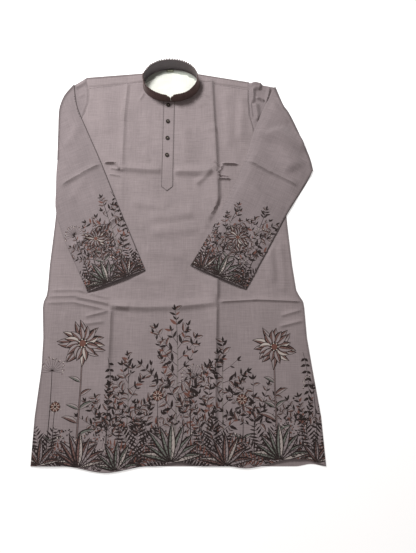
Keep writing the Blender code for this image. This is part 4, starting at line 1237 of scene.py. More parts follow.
def front_outline():
    """The front's edge, from the hem's left end round by the right side, the neck and the left side."""
    left, right = body_side(-1, HEM_V), body_side(1, HEM_V)
    steps = round((right - left) / EDGE_STEP)
    hem = [Vector((u, front_hem_line(u))) for u in (mix(left, right, i / steps) for i in range(steps + 1))]
    sides = []
    for side, top in ((1, UNDERARM_RIGHT), (-1, UNDERARM_LEFT)):
        steps = round((top - HEM_V) / EDGE_STEP)
        points = []
        for i in range(1, steps + 1):
            height = mix(HEM_V, top, i / steps)
            u = body_side(side, height)
            points.append(Vector((u, height + hem_shift(front_hem_line, u, height))))
        points += armhole_points(side, ARMHOLE_STEPS)[1:]
        points += even_path([points[-1], seam_end(side)], EDGE_STEP)[1:]
        sides.append(points)
    neck = [neck_point(degrees, COLLAR_WALL)
            for degrees in (mix(NECK_FROM_DEG, -NECK_FROM_DEG, i / NECK_STEPS) for i in range(1, NECK_STEPS))]
    return hem + sides[0] + neck + sides[1][::-1]


def make_front(finish, inks, seed):
    """The front, from the hem to the shoulder seams and the neck, cut along its print's outlines."""
    loop = front_outline()
    border = Border(seed, (0.0, 0.0), (1.0, 0.0))
    draw(border, FRONT_PLANTS, lambda u: front_hem_line(u) + BORDER_LIFT)
    spread = spread_points(loop, FRONT_CREASES, PANEL_PITCH, EDGE_INSETS)
    shapes = border.seen()
    plan, _, kept = patch(loop, spread, shapes)
    cloth = Cloth()
    plate(cloth, plan, kept, shape_colours(shapes, inks), body_top, body_under)
    # Painted shade: dark ink along the hem and on the sides below the underarms.
    hem = {i for i, p in enumerate(cloth.points) if p.y < front_hem_line(p.x) + HEM_SHADE}
    cloth.darken(hem, inks, PAINTED_SHADE["hem"])
    sides = [p for p in loop if min(p.x - body_side(-1, p.y), body_side(1, p.y) - p.x) < EDGE_INSETS[0]]
    cloth.shade_edge([p for p in sides if p.y < UNDERARM_RIGHT], inks, PAINTED_SHADE["side"])
    return cloth.build("front_panel_cloth", finish)


def back_columns():
    """For each column of the back: its u over the chest, its end at the top, and its shoulder, if any."""
    left_side, left_neck, right_neck, right_side = BACK_SPREAD
    low, high = [math.degrees(math.acos((fold_point(side, 1.0).y - NECK_V) / NECK_HALF_DEPTH))
                 for side in (-1, 1)]
    shares = [i / BACK_SHOULDER_STEPS for i in range(BACK_SHOULDER_STEPS + 1)]
    inner = [i / BACK_NECK_STEPS for i in range(1, BACK_NECK_STEPS)]
    return [*((mix(left_side, left_neck, t), fold_point(-1, t), (-1, t)) for t in shares),
            *((mix(left_neck, right_neck, t), neck_point(180 + mix(low, -high, t)), None) for t in inner),
            *((mix(right_neck, right_side, t), fold_point(1, 1 - t), (1, 1 - t)) for t in shares)]


def back_plan(columns):
    """Rows of plan points, from the hem to the shoulders' fold."""
    last = len(columns) - 1
    arms = armhole_points(-1, BACK_ARM_STEPS), armhole_points(1, BACK_ARM_STEPS)
    plan = []
    for k in range(BACK_BODY_ROWS):
        height = mix(HEM_V, UNDERARM_RIGHT - 0.006, (k / (BACK_BODY_ROWS - 1)) ** BACK_ROW_POWER)
        left, right = body_side(-1, height), body_side(1, height)
        row = []
        for i, (chest, _, _) in enumerate(columns):
            u = left if i == 0 else right if i == last else mix(left, right, chest_share(chest))
            row.append(Vector((u, height + hem_shift(hem_line, u, height))))
        plan.append(row)
    under = []
    for chest, _, _ in columns:
        t = (chest - arms[0][0].x) / (arms[1][0].x - arms[0][0].x)
        under.append(Vector((chest, mix(arms[0][0].y, arms[1][0].y, t))))
    plan.append(under)
    for step in range(1, BACK_ARM_STEPS + 2):
        t = step / (BACK_ARM_STEPS + 1)
        row = []
        for i, (_, top, shoulder) in enumerate(columns):
            top = top - Vector((0.0, FOLD_REACH)) if shoulder else top
            point = under[i].lerp(top, t)
            for side, arm in zip((-1, 1), arms):
                at = arm[step] if step <= BACK_ARM_STEPS else top
                if i == (0 if side < 0 else last):
                    point = at.copy()
                elif step <= BACK_ARM_STEPS:
                    edge = under[0 if side < 0 else -1].lerp(shoulder_end(side), t)
                    near = 1 - min(abs(point.x - at.x) / ARMHOLE_PULL, 1.0)
                    point += (at - edge) * near * near
            row.append(point)
        plan.append(row)
    return plan


def chest_share(chest):
    """Share of the way across the back over the chest."""
    return (chest - BACK_SPREAD[0]) / (BACK_SPREAD[3] - BACK_SPREAD[0])


def flap_point(top, shoulder, share):
    """A point of the turned shoulder, from its fold at 0 to the seam at 1."""
    if shoulder is None:
        return top
    side, t = shoulder
    turns = fold_degrees(), NECK_FROM_DEG
    necks = [neck_point(side * degrees, COLLAR_WALL) for degrees in turns]
    on_arc = neck_point(side * mix(*turns, share), COLLAR_WALL)
    end = armhole_points(side, 1)[-1].lerp(necks[1], t)
    point = (top - Vector((0.0, FOLD_REACH))).lerp(end, share)
    return point + (on_arc - necks[0].lerp(necks[1], share)) * t**3 + Vector((0.0, GAP * share))


def make_back(finish, inks):
    """The back lies on the floor, and its shoulders turn over onto the front as far as the seam."""
    columns = back_columns()
    last = len(columns) - 1
    plan = back_plan(columns)
    outer = [[(p.x, p.y, 0.0) for p in row] for row in plan]
    inner = [[(p.x, p.y, CLOTH) for p in row] for row in plan]
    cells = {(r, c) for r in range(len(plan) - 1) for c in range(last)}
    shoulders = {c for c in range(last) if columns[c][2] and columns[c + 1][2]}
    for k in range(1, WRAP_STEPS + 1):
        angle = math.pi * k / WRAP_STEPS
        for skin, half in ((outer, WRAP_HALF), (inner, -WRAP_HALF)):
            skin.append([(top.x, top.y - FOLD_REACH + (WRAP_TURN + half) * math.sin(angle),
                          FOLD_REACH - (WRAP_TURN + half) * math.cos(angle)) for _, top, _ in columns])
        cells |= {(len(outer) - 2, c) for c in shoulders}
    for step in range(1, BACK_FLAP_STEPS + 1):
        row = [flap_point(top, shoulder, step / BACK_FLAP_STEPS) for _, top, shoulder in columns]
        outer.append([(*p, body_top(*p)) for p in row])
        inner.append([(*p, body_under(*p)) for p in row])
        cells |= {(len(outer) - 2, c) for c in shoulders}
    cloth = Cloth()
    skins = [cloth.grid(skin, cells=cells) for skin in (outer, inner)]
    partner = {a: b for top, low in zip(*skins) for a, b in zip(top, low)}
    cloth.close(partner)
    # Painted shade: dark ink over the turned shoulders' fold.
    turned = skins[0][len(plan) + WRAP_STEPS // 2 - 1:len(plan) + WRAP_STEPS + 1]
    cloth.darken({i for row in turned for i in row}, inks, PAINTED_SHADE["shoulder"])
    return cloth.build("back_panel_cloth", finish)


# Sleeves


def outward(points, i, out):
    """Across a row of plan points that runs down, away from the body."""
    line = (points[min(i + 1, len(points) - 1)] - points[max(i - 1, 0)]).normalized()
    return Vector((-line.y, line.x)) * out


def sag(out, point):
    """How far a folded sleeve sinks past the body's edge, below the part of it that lies on the floor."""
    beyond = out * (point.x - body_side(out, point.y)) - SAG_FROM_SIDE
    corner = sleeve_shape(out)["fold"][-1]
    below = -out * beside(point.x, point.y, armhole_points(out, 1)[0], corner) - SAG_FROM_LOWER
    return 2 * LAYER * ease(min(beyond, below) / SAG_RAMP)


def even_points(points, count):
    """Points at equal distances along a line of plan points."""
    table = [(r, p.x, p.y) for r, p in zip(reaches(points), points)]
    places = [table[-1][0] * i / (count - 1) for i in range(count)]
    return [Vector((read(table, at, 1), read(table, at, 2))) for at in places]


class Sleeve:
    """One flattened sleeve: its sections, and the frame of its cuff, with x along the cuff and y up it."""

    def __init__(self, name):
        shape = SLEEVES[name]
        self.name, self.out = name, shape["out"]
        inner, outer = Vector(shape["stations"][-1][:2]), Vector(shape["stations"][-1][2:4])
        self.corner, end = (outer, inner) if self.out < 0 else (inner, outer)
        self.width = (end - self.corner).length
        self.along = (end - self.corner).normalized()
        self.up = Vector((-self.along.y, self.along.x))
        self.sections = self.make_sections(shape)
        self.folded = SLEEVE_LOW_ROWS + FOLD_STEPS
        first = self.sections[self.folded + 1]
        self.start_line = first[-1][0].xy, first[0][0].xy
        self.edges = Spread(SWELL_REACH)
        for row in self.sections[self.folded + 1:]:
            for place, _ in (row[0], row[-1]):
                self.edges.add(place.xy, keep=True)

    def make_sections(self, shape):
        """Sections from the armhole to the cuff: plan points across, their heights, and their normals."""
        out = self.out
        arm = even_points([shoulder_end(out), *reversed(armhole_points(out, 40))], SLEEVE_ACROSS)
        ends = [a.lerp(b, min(0.9, SLEEVE_SETBACK / (b - a).length)) for a, b in (arm[:2], arm[:-3:-1])]
        start = [ends[0], *arm[1:-1], ends[1]]
        start = [p + outward(start, i, out) * GAP for i, p in enumerate(start)]
        share = [i / (SLEEVE_ACROSS - 1) for i in range(SLEEVE_ACROSS)]
        fold = [smooth_path(shape["fold"], t) for t in share]
        outs = [outward(fold, i, out) for i in range(SLEEVE_ACROSS)]
        turn = (TUBE_HIGH - TUBE_LOW) / 2
        edge = [p - n * (turn + TUBE_HALF) for p, n in zip(fold, outs)]
        sections = []
        for row in range(SLEEVE_LOW_ROWS):
            points = [a.lerp(b, row / SLEEVE_LOW_ROWS) for a, b in zip(start, edge)]
            sections.append([(Vector((*p, TUBE_LOW)), Vector((0, 0, -1))) for p in points])
        for row in range(FOLD_STEPS + 1):
            angle = math.pi * row / FOLD_STEPS
            section = []
            for p, n in zip(edge, outs):
                place = Vector((*(p + n * turn * math.sin(angle)), TUBE_LOW + turn * (1 - math.cos(angle))))
                section.append((place, Vector((*(n * math.sin(angle)), -math.cos(angle)))))
            sections.append(section)
        stations = [edge]
        for inner_u, inner_v, outer_u, outer_v, bow in shape["stations"]:
            a, b = Vector((inner_u, inner_v)), Vector((outer_u, outer_v))
            side = outward([a, b], 0, out)
            stations.append([a.lerp(b, t) + side * bow * math.sin(math.pi * t) for t in share])
        total = (len(stations) - 1) * STATION_STEPS
        for row in range(1, total + 1):
            points = [smooth_path([s[i] for s in stations], row / total) for i in range(SLEEVE_ACROSS)]
            sections.append([(Vector((*p, TUBE_HIGH - sag(out, p))), Vector((0, 0, 1))) for p in points])
        return sections

    def opening(self, u, v):
        """How far the cuff's upper layer stands up from the lower one."""
        at = Vector((u, v)) - self.corner
        across = min(max(at.dot(self.along) / self.width, 0.0), 1.0)
        return CUFF_OPENING * math.sin(math.pi * across) * ease(1 - at.dot(self.up) / CUFF_REACH)

    def from_edges(self, u, v):
        """Distance to the nearer of the folded part's long edges, up to the swell's reach."""
        return nearest(self.edges, u, v)

    def swell(self, u, v):
        """How far the air inside lifts the folded part's upper layer."""
        from_fold = self.out * beside(u, v, *self.start_line)
        near = self.from_edges(u, v)
        roll = 1 - (1 - min(near, from_fold + ROLL_REACH, ROLL_REACH) / ROLL_REACH) ** 2
        return (SLEEVE_SWELL * ease(near / SWELL_REACH) + SLEEVE_ROLL * roll) * ease(from_fold / SWELL_REACH)

    def relief(self, u, v):
        """Creases of the folded part's upper layer, gone at the sleeve's long edges."""
        near = self.from_edges(u, v)
        height = crease_height(SLEEVE_CREASES[self.name], u, v) + rumple(u, v, 9.0, SLEEVE_RUMPLE)
        return height * ease(near / EDGE_RAMP)

    def top(self, u, v):
        """Height of the folded part's upper face."""
        high = TUBE_HIGH - sag(self.out, Vector((u, v))) + TUBE_HALF
        return high + self.opening(u, v) + self.swell(u, v) + self.relief(u, v)

    def rings(self):
        """The outer and the inner ring of each section: over the top from end to end and back below."""
        outer, inner = [], []
        for row, section in enumerate(self.sections):
            for rings, half in ((outer, TUBE_HALF), (inner, GAP / 2)):
                ring = []
                for place, normal in section:
                    point = place + normal * half
                    if row > self.folded:
                        if half == TUBE_HALF:
                            point.z = self.top(*place.xy)
                        else:
                            point.z += self.opening(*place.xy) + LINING_SHARE * self.swell(*place.xy)
                    ring.append(point)
                ring.append(section[-1][0] + (section[-1][0] - section[-2][0]).normalized() * half)
                for place, normal in reversed(section):
                    point = place - normal * half
                    if row < SLEEVE_LOW_ROWS:
                        relief = self.shoulder_relief(*place.xy)
                        point.z += relief + (seam_relief(*place.xy) if half == TUBE_HALF else 0.0)
                    ring.append(point)
                end = section[0][0] + (section[0][0] - section[1][0]).normalized() * half
                if row < SLEEVE_LOW_ROWS:
                    end.z += TURNED_SHARE * self.shoulder_relief(*section[0][0].xy)
                ring.append(end)
                rings.append(ring)
        way = (self.sections[-1][0][0] - self.sections[-2][0][0]).normalized()
        for ring in (outer[-1], inner[-1]):
            for k in range(SLEEVE_ACROSS):
                share = 1 - k / (SLEEVE_ACROSS - 1)
                ring[2 * SLEEVE_ACROSS - k] += way * CUFF_SLIP * math.sin(math.pi * share**CUFF_SKEW)
        return outer, inner

    def shoulder_relief(self, u, v):
        """Crumples beside the armhole, where the folded part doesn't cover the lower one."""
        first, second = Vector(SLEEVES[self.name]["fold"][0]), Vector(SLEEVES[self.name]["stations"][1][:2])
        shown = ease((-self.out * beside(u, v, first, second) - CRUMPLE_FROM) / CRUMPLE_FADES[0])
        shown *= ease((abs(u - armhole(self.out, v)) - CRUMPLE_FROM) / CRUMPLE_FADES[1])
        high = crease_height(SHOULDER_CREASES[self.name], u, v)
        return high / (1 + high / CRUMPLE_SOFT) * shown


def make_sleeve(name, finish, inks, seed):
    """A flattened tube, whose printed upper layer is a patch inside its long edges, its fold and its cuff."""
    sleeve = Sleeve(name)
    outer, inner = sleeve.rings()
    across, rows = SLEEVE_ACROSS, len(outer)
    first = sleeve.folded + 1
    cloth = Cloth()
    cells = {(r, c) for r in range(rows - 1) for c in range(len(outer[0]))
             if r < first or c >= across - 1}
    skin = cloth.grid(outer, ring=True, cells=cells)
    lining = cloth.grid(inner, ring=True)
    for r in (0, rows - 1):
        for c in range(len(outer[0])):
            d = (c + 1) % len(outer[0])
            cloth.face((skin[r][c], skin[r][d], lining[r][d], lining[r][c]))
    rim = skin[first][:across] + [skin[r][across - 1] for r in range(first + 1, rows)]
    rim += skin[-1][across - 2::-1] + [skin[r][0] for r in range(rows - 2, first, -1)]
    if sleeve.out > 0:
        rim.reverse()
    loop = [cloth.points[i].xy for i in rim]
    border = Border(seed, sleeve.corner, sleeve.along)
    draw(border, SLEEVE_PLANTS[name], lambda x: CUFF_BORDER_LIFT)
    shapes = [s for s in border.seen() if any(inside(loop, p) for p in s[0][::3])]
    spread = spread_points(loop, SLEEVE_CREASES[name], PANEL_PITCH, EDGE_INSETS)
    plan, origins, kept = patch(loop, spread, shapes)
    ids = {}
    for face, shape in kept:
        for i in face:
            if i not in ids:
                known = origins[i] is not None and origins[i] < len(rim)
                ids[i] = rim[origins[i]] if known else cloth.point((*plan[i], sleeve.top(*plan[i])))
    around = [ids[i] for i in edge_loop([face for face, _ in kept])]
    split_edges(cloth, around, set(rim))
    colours = shape_colours(shapes, inks)
    for face, shape in kept:
        cloth.face([ids[i] for i in face], colours[shape])
    # Painted shade: dark ink along the folded part's long edge, the cuff and the fold, and beside the right
    # sleeve's outer edge.
    long_edge = 0 if sleeve.out < 0 else across - 1
    edge = [skin[r][long_edge] for r in range(first, rows)]
    cloth.darken(set(edge), inks, PAINTED_SHADE["long edge"])
    cloth.darken(set(skin[-1][:across]), inks, PAINTED_SHADE["cuff"])
    if sleeve.out > 0:
        cloth.shade_edge([cloth.points[i].xy for i in edge], inks, PAINTED_SHADE["beside"])
    turned = skin[first - FOLD_STEPS // 2:first + 1]
    cloth.darken({i for row in turned for i in row[:across]}, inks, PAINTED_SHADE["fold"])
    cloth.shade_edge([cloth.points[i].xy for i in skin[first][:across]], inks, PAINTED_SHADE["fold"])
    angle = math.atan2(sleeve.along.y, sleeve.along.x)
    return cloth.build(f"{name}_cloth", finish, grain=angle)


def split_edges(cloth, around, known):
    """Adds the points that a patch has put on the edges it shares to the faces beside them."""
    start = next(i for i, p in enumerate(around) if p in known)
    walk = around[start:] + around[:start + 1]
    chains, between, last = {}, [], walk[0]
    for p in walk[1:]:
        if p in known:
            if between:
                chains[last, p], chains[p, last] = between, between[::-1]
            between, last = [], p
        else:
            between.append(p)
    for k, face in enumerate(cloth.faces):
        longer = []
        for a, b in pairs(face):
            longer += [a, *chains.get((a, b), ())]
        if len(longer) > len(face):
            cloth.faces[k] = tuple(longer)


def inside(loop, point):
    """Whether a plan point is inside a loop."""
    odd = False
    for a, b in pairs(loop):
        if (a.y > point.y) != (b.y > point.y):
            odd ^= point.x < a.x + (b.x - a.x) * (point.y - a.y) / (b.y - a.y)
    return odd


# Placket, collar, facing and label


def make_placket(finish, inks):
    """A strip with a pointed end, on the front's own plan, pressed in along its stitching."""
    top, low = [], []
    for row in range(PLACKET_ROWS + 1):
        lines = [], []
        for c in range(PLACKET_COLUMNS + 1):
            across = mix(-1.0, 1.0, c / PLACKET_COLUMNS)
            u = PLACKET_U + across * PLACKET_WIDTH / 2
            start = PLACKET_TIP_V + PLACKET_POINT * abs(across)
            turn = math.degrees(math.asin((u - NECK_U) / NECK_HALF_WIDTH))
            v = mix(start, neck_point(turn).y - GAP, row / PLACKET_ROWS)
            base = BODY_TOP + GAP + front_lift(u, v)
            lines[0].append((u, v, base + PLACKET_CLOTH - placket_dip(u, v)))
            lines[1].append((u, v, base))
        top.append(lines[0])
        low.append(lines[1])
    cloth = Cloth()
    skins = [cloth.grid(top), cloth.grid([row[::-1] for row in low])]
    skins[1] = [row[::-1] for row in skins[1]]
    cloth.close({a: b for high, below in zip(*skins) for a, b in zip(high, below)})
    # Painted shade: dark ink on the placket's sides and its pointed end.
    cloth.darken({row[c] for row in skins[0] for c in (0, -1)} | set(skins[0][0]), inks, PAINTED_SHADE["placket"])
    return cloth.build("placket_cloth", finish)


def placket_dip(u, v):
    """How far the placket is pressed in at its stitching and its edges, with small puckers between."""
    inset = PLACKET_WIDTH / 2 - abs(u - PLACKET_U)
    pucker = 0.5 + 0.5 * noise.noise(Vector((u * PUCKER_WAVES[0], v * PUCKER_WAVES[1], 2.0)))
    return (STITCH_DIP * bell(inset - STITCH_INSET, STITCH_DIP_HALF) * (0.6 + 0.8 * pucker)
            + PRESSED_EDGE * bell(inset, PRESSED_HALF) + PUCKER * pucker)


def rim_arc(degrees):
    """Distance along the rim from the centre front."""
    return math.radians(abs((degrees + 180) % 360 - 180)) * NECK_HALF_WIDTH


def picot(degrees):
    """1 on top of each of the rim's bumps and 0 between them."""
    return 0.5 - 0.5 * math.cos(math.tau * rim_arc(degrees) / PICOT_PITCH)


def collar_top(degrees):
    """Height of the collar's rim, which falls in a rounded notch at the centre front."""
    notch = NOTCH_DEPTH * (1 - ease(rim_arc(degrees) / NOTCH_HALF)) ** NOTCH_ROUND
    return COLLAR_HEIGHT - notch - PICOT_HEIGHT * (1 - picot(degrees))


def collar_foot(degrees):
    """Height of the collar's lower edge, which steps down behind the shoulders' fold."""
    behind = abs((degrees % 360) - 180)
    return mix(LAYER, BODY_TOP + GAP, ease((behind - FOOT_STEP_DEG) / FOOT_RAMP_DEG))


def collar_point(degrees, height, inset):
    """A point of the collar's wall, which leans and ripples a little towards its rim."""
    foot = collar_foot(degrees)
    rim = (height - foot) / (COLLAR_HEIGHT - foot)
    angle = math.radians(degrees)
    ripple = COLLAR_RIPPLE * noise.noise(Vector((math.sin(angle) * 3.1, math.cos(angle) * 3.1, rim * 1.4)))
    ripple -= PICOT_REACH * picot(degrees) * ease((rim - 0.80) / 0.20)
    inset += ripple * ease(rim) * ease(min(degrees, 360 - degrees) / 8)
    return Vector((*neck_point(degrees, inset, rim), height))


def make_collar(finish, lining):
    """A band round the neck with a bumpy rim and a lining of its own colour, open at the centre front."""
    end = math.degrees(GAP / NECK_HALF_WIDTH)
    rows = []
    for step in range(COLLAR_STEPS + 1):
        degrees = mix(end, 360 - end, step / COLLAR_STEPS)
        foot, top = collar_foot(degrees), collar_top(degrees) - COLLAR_WALL / 2
        row = [collar_point(degrees, mix(foot, top, i / COLLAR_ROWS), 0.0) for i in range(COLLAR_ROWS + 1)]
        for i in range(1, RIM_STEPS):
            angle = math.pi * i / RIM_STEPS
            row.append(collar_point(degrees, top + math.sin(angle) * COLLAR_WALL / 2,
                                    (1 - math.cos(angle)) * COLLAR_WALL / 2))
        row += [collar_point(degrees, mix(top, foot, i / COLLAR_ROWS), COLLAR_WALL)
                for i in range(COLLAR_ROWS + 1)]
        rows.append(row)
    cloth = Cloth()
    ids = cloth.grid([row[::-1] for row in rows], ring=True)
    around = len(rows[0])
    # The lining's ink, with its colour darker round the left side as painted shade.
    for k in range(len(cloth.faces)):
        if k % around < COLLAR_ROWS:
            share = k // around / COLLAR_STEPS
            strength, left = [mix(a, b, ease((share - start) / fade)) for a, b, start, fade in LINING_INK]
            cloth.inks[k] = (*(c * left for c in lining), strength)
    cloth.face(ids[0])
    cloth.face(ids[-1][::-1])
    collar = cloth.build("collar_cloth", finish, sharp=COLLAR_SHARP_DEG)
    wrap_grain(collar, rows)
    return collar


def wrap_grain(collar, rows):
    """Lays the collar's grain round its band."""
    mesh = collar.data
    count = len(rows[0])
    up = reaches(rows[0])[::-1]
    flat = []
    for loop in mesh.loops:
        step, k = divmod(loop.vertex_index, count)
        flat += (step / (len(rows) - 1) * COLLAR_LENGTH, up[k])
    mesh.uv_layers[GRAIN].data.foreach_set("uv", flat)


def make_facing(finish, inks):
    """The facing of the back that shows inside the collar, as an oval plate."""
    inset = COLLAR_WALL + FACING_INSET
    loop = [neck_point(mix(0, 360, i / FACING_STEPS), inset) for i in range(FACING_STEPS)]
    # A grey green band along the back of the collar: the collar's shadow, painted on the facing.
    edge = [neck_point(mix(*BAND_DEG, i / BAND_STEPS), inset) for i in range(BAND_STEPS + 1)]
    band = []
    for i, p in enumerate(edge):
        share = (BAND_SHARE + BAND_GAIN * ease(i / BAND_FADES[0]) * ease((BAND_STEPS - i) / BAND_FADES[1])
                 + BAND_WAVES * noise.noise(Vector((i * 0.31, 4.0, 1.0))))
        band.append(p + (Vector((NECK_U, NECK_V)) - p) * share)
    inner = spread_points(loop, FACING_CREASES, FACING_PITCH)
    plan, _, kept = patch(loop, inner, [(edge + band[::-1],)])
    label_low = neck_point(180, COLLAR_WALL).y - LABEL_INSET - LABEL_DEPTH

    def top(u, v):
        height = crease_height(FACING_CREASES, u, v) + rumple(u, v, 6.0, FACING_RUMPLE)
        height *= ease((label_low - FACING_FROM_LABEL[0] - v) / FACING_FROM_LABEL[1])
        return BODY_TOP + height * ease((FACING_TO_RIM[0] - neck_share(u, v)) / FACING_TO_RIM[1])

    cloth = Cloth()
    plate(cloth, plan, kept, [(*inks[GREEN], BAND_INK), BARE], top, lambda u, v: LAYER)
    return cloth.build("neck_facing_cloth", finish)


def make_label(finish, inks):
    """A bare label with a woven edge, sewn on the facing under the back of the collar."""
    high = neck_point(180, COLLAR_WALL).y - LABEL_INSET
    middle = NECK_U + LABEL_SHIFT
    low = BODY_TOP + GAP

    def frame(inset):
        u0, u1 = middle - LABEL_WIDTH / 2 + inset, middle + LABEL_WIDTH / 2 - inset
        v0, v1 = high - LABEL_DEPTH + inset, high - inset
        return [Vector(p) for p in ((u0, v0), (u1, v0), (u1, v1), (u0, v1))]

    corners = frame(0.0)
    loop = even_path([*corners, corners[0]], LABEL_PITCH)[:-1]
    shapes = [(frame(inset), LINE, strength) for inset, strength in LABEL_FRAME]
    plan, _, kept = patch(loop, spread_points(loop, (), LABEL_PITCH), shapes)

    def top(u, v):
        inset = min(u - corners[0].x, corners[1].x - u, v - corners[0].y, corners[2].y - v)
        return low + CLOTH - LABEL_DIP * bell(inset, LABEL_DIP_HALF)

    cloth = Cloth()
    plate(cloth, plan, kept, shape_colours(shapes, inks), top, lambda u, v: low, under=LABEL_UNDER_PITCH)
    return cloth.build("neck_label_cloth", finish)


# Buttons and sewing, by Blender's own tools


def pick(test):
    """Selects the faces whose normal passes a test, in edit mode."""
    bm = bmesh.from_edit_mesh(bpy.context.edit_object.data)
    bm.select_mode = {"FACE"}
    for face in bm.faces:
        face.select = test(face.normal)
    bm.select_flush_mode()
    bmesh.update_edit_mesh(bpy.context.edit_object.data)


def settle(piece):
    """Puts a piece's place into its mesh."""
    bpy.ops.object.select_all(action="DESELECT")
    piece.select_set(True)
    bpy.context.view_layer.objects.active = piece
    bpy.ops.object.transform_apply(location=True, rotation=True, scale=True)


def copied(piece, name, shift):
    """A copy with a mesh of its own, moved by a shift."""
    copy = bpy.data.objects.new(name, piece.data.copy())
    copy.data.name = name
    copy.data.transform(Matrix.Translation(shift))
    bpy.context.scene.collection.objects.link(copy)
    return copy


def round_edges(piece, width, segments):
    rounding = piece.modifiers.new("rounding", "BEVEL")
    rounding.width, rounding.segments = width, segments
    rounding.limit_method, rounding.angle_limit = "ANGLE", math.radians(ROUND_DEG)
    bpy.ops.object.modifier_apply(modifier="rounding")


def complete(piece, name, finish, smooth):
    """Names a modelled piece, settles it, and gives it its shading and its finish."""
    piece.name = piece.data.name = name
    settle(piece)
    bpy.ops.object.shade_smooth_by_angle(angle=math.radians(smooth))
    piece.data.materials.clear()
    piece.data.materials.append(finish)
    return piece


def model_button(name, centre, gauge, thick, finish):
    """A turned button: a rounded rim round a dished middle, with four drilled holes."""
    bpy.ops.object.select_all(action="DESELECT")
    bpy.ops.mesh.primitive_cylinder_add(vertices=36, radius=gauge * BUTTON_RADIUS, depth=thick,
                                        location=centre)
    button = bpy.context.object
    bpy.ops.object.mode_set(mode="EDIT")
    pick(lambda normal: normal.z > 0.5)
    for inset, sink in BUTTON_RINGS:
        bpy.ops.mesh.inset(thickness=gauge * inset, depth=-thick * sink)
    bpy.ops.object.mode_set(mode="OBJECT")
    for side in (-1, 1):
        for rise in (-1, 1):
            place = centre + Vector((side, rise, 0.0)) * gauge * HOLE_SPREAD
            bpy.ops.mesh.primitive_cylinder_add(vertices=12, radius=gauge * HOLE_RADIUS, depth=thick * 3,
                                                location=place)
            drill = bpy.context.object
            cut = button.modifiers.new("hole", "BOOLEAN")
            cut.object, cut.solver = drill, "EXACT"
            bpy.context.view_layer.objects.active = button
            bpy.ops.object.modifier_apply(modifier="hole")
            bpy.data.objects.remove(drill, do_unlink=True)
    round_edges(button, thick * 0.16, 3)
    return complete(button, name, finish, 40)


def model_thread(name, centre, gauge, thick, finish):
    """The thread that crosses a button between its holes."""
    bpy.ops.object.select_all(action="DESELECT")
    reach = gauge * HOLE_SPREAD
    bars = []
    for turn in (math.pi / 4, -math.pi / 4):
        for shift in (-1, 1):
            way = heading(turn)
            side = Vector((-way.y, way.x)) * shift * gauge * THREAD_SHIFT
            place = centre + Vector((*side, thick * (THREAD_RISES[0] + THREAD_RISES[1] * (turn < 0))))
            bpy.ops.mesh.primitive_cylinder_add(vertices=8, radius=gauge * THREAD_RADIUS,
                                                depth=reach * THREAD_LENGTH, location=place,
                                                rotation=(math.pi / 2, 0, turn + math.pi / 2))
            bars.append(bpy.context.object)
            round_edges(bars[-1], gauge * 0.04, 2)
    for bar in bars:
        bar.select_set(True)
    bpy.context.view_layer.objects.active = bars[0]
    bpy.ops.object.join()
    return complete(bpy.context.object, name, finish, 50)


def model_stitch(length):
    """One stitch of thread, lying along x, as a pattern to be copied."""
    bpy.ops.object.select_all(action="DESELECT")
    bpy.ops.mesh.primitive_uv_sphere_add(segments=6, ring_count=4, radius=1.0, location=(0, 0, 0),
                                         rotation=(0, math.pi / 2, 0))
    stitch = bpy.context.object
    bpy.ops.object.transform_apply(location=False, rotation=True, scale=False)
    stitch.scale = (length / 2, STITCH_HALF, STITCH_HALF * 0.8)
    settle(stitch)
    mesh = stitch.data.copy()
    bpy.data.objects.remove(stitch, do_unlink=True)
    return mesh


def sew(name, lines, pattern, pitch, finish):
    """Copies of one stitch along lines of places and upward directions, joined into a piece."""
    shape = [v.co.copy() for v in pattern.vertices]
    sides = [tuple(p.vertices) for p in pattern.polygons]
    points, faces = [], []
    for line in lines:
        reach = reaches([place for place, _ in line])
        count = max(1, round(reach[-1] / pitch))
        for k in range(count):
            at = (k + 0.5) / count * reach[-1]
            i = max(j for j, r in enumerate(reach[:-1]) if r <= at)
            t = (at - reach[i]) / (reach[i + 1] - reach[i])
            place = line[i][0].lerp(line[i + 1][0], t)
            way = (line[i + 1][0] - line[i][0]).normalized()
            out = line[i][1].lerp(line[i + 1][1], t)
            across = out.cross(way).normalized()
            up = way.cross(across)
            base = len(points)
            points += [place + way * p.x + across * p.y + up * p.z for p in shape]
            faces += [tuple(base + v for v in side) for side in sides]
    mesh = bpy.data.meshes.new(name)
    mesh.from_pydata([p - PLAN_MIDDLE for p in points], [], faces)
    return finish_piece(name, mesh, finish, 80)


def raised(points, height):
    """Plan points as places at a height that is a function of the plan, each with its upward direction."""
    return [(Vector((*p, height(*p) + STITCH_LIFT)), Vector((0.0, 0.0, 1.0))) for p in points]


def placket_seams():
    """Down each side of the placket and along its point."""
    lines = []
    for side in (-1, 1):
        u = PLACKET_U + side * (PLACKET_WIDTH / 2 - STITCH_INSET)
        points = even_path([(u, PLACKET_SEWN_V), (u, PLACKET_TIP_V + PLACKET_POINT * 0.87),
                            (PLACKET_U, PLACKET_TIP_V + STITCH_INSET)], 0.002)
        lines.append(raised(points, lambda a, b: BODY_TOP + GAP + PLACKET_CLOTH + front_lift(a, b)
                            - placket_dip(a, b)))
    return lines


def body_seams():
    """Along the hem, below the shoulders' seams and beside the armholes."""
    left, right = body_side(-1, HEM_DEPTH) + HEM_DEPTH / 2, body_side(1, HEM_DEPTH) - HEM_DEPTH / 2
    across = [mix(left, right, i / HEM_STEPS) for i in range(HEM_STEPS + 1)]
    hem = [Vector((u, front_hem_line(u) + HEM_DEPTH)) for u in across]
    lines = [raised(hem, body_top)]
    for side in (-1, 1):
        arm = [p - Vector((side * SEAM_INSET, 0.0)) for p in armhole_points(side, 80)[8:-2]]
        seam = even_path([arm[-1], seam_end(side) - Vector((side * -SEW_FROM, SEAM_INSET))], 0.003)
        fold, stations = sleeve_shape(side)["fold"], sleeve_shape(side)["stations"]
        shown = [p for p in arm if -side * beside(*p, fold[0], stations[1][:2]) > SEW_FROM]
        lines += [raised(shown, body_top), raised(seam, body_top)]
    return lines


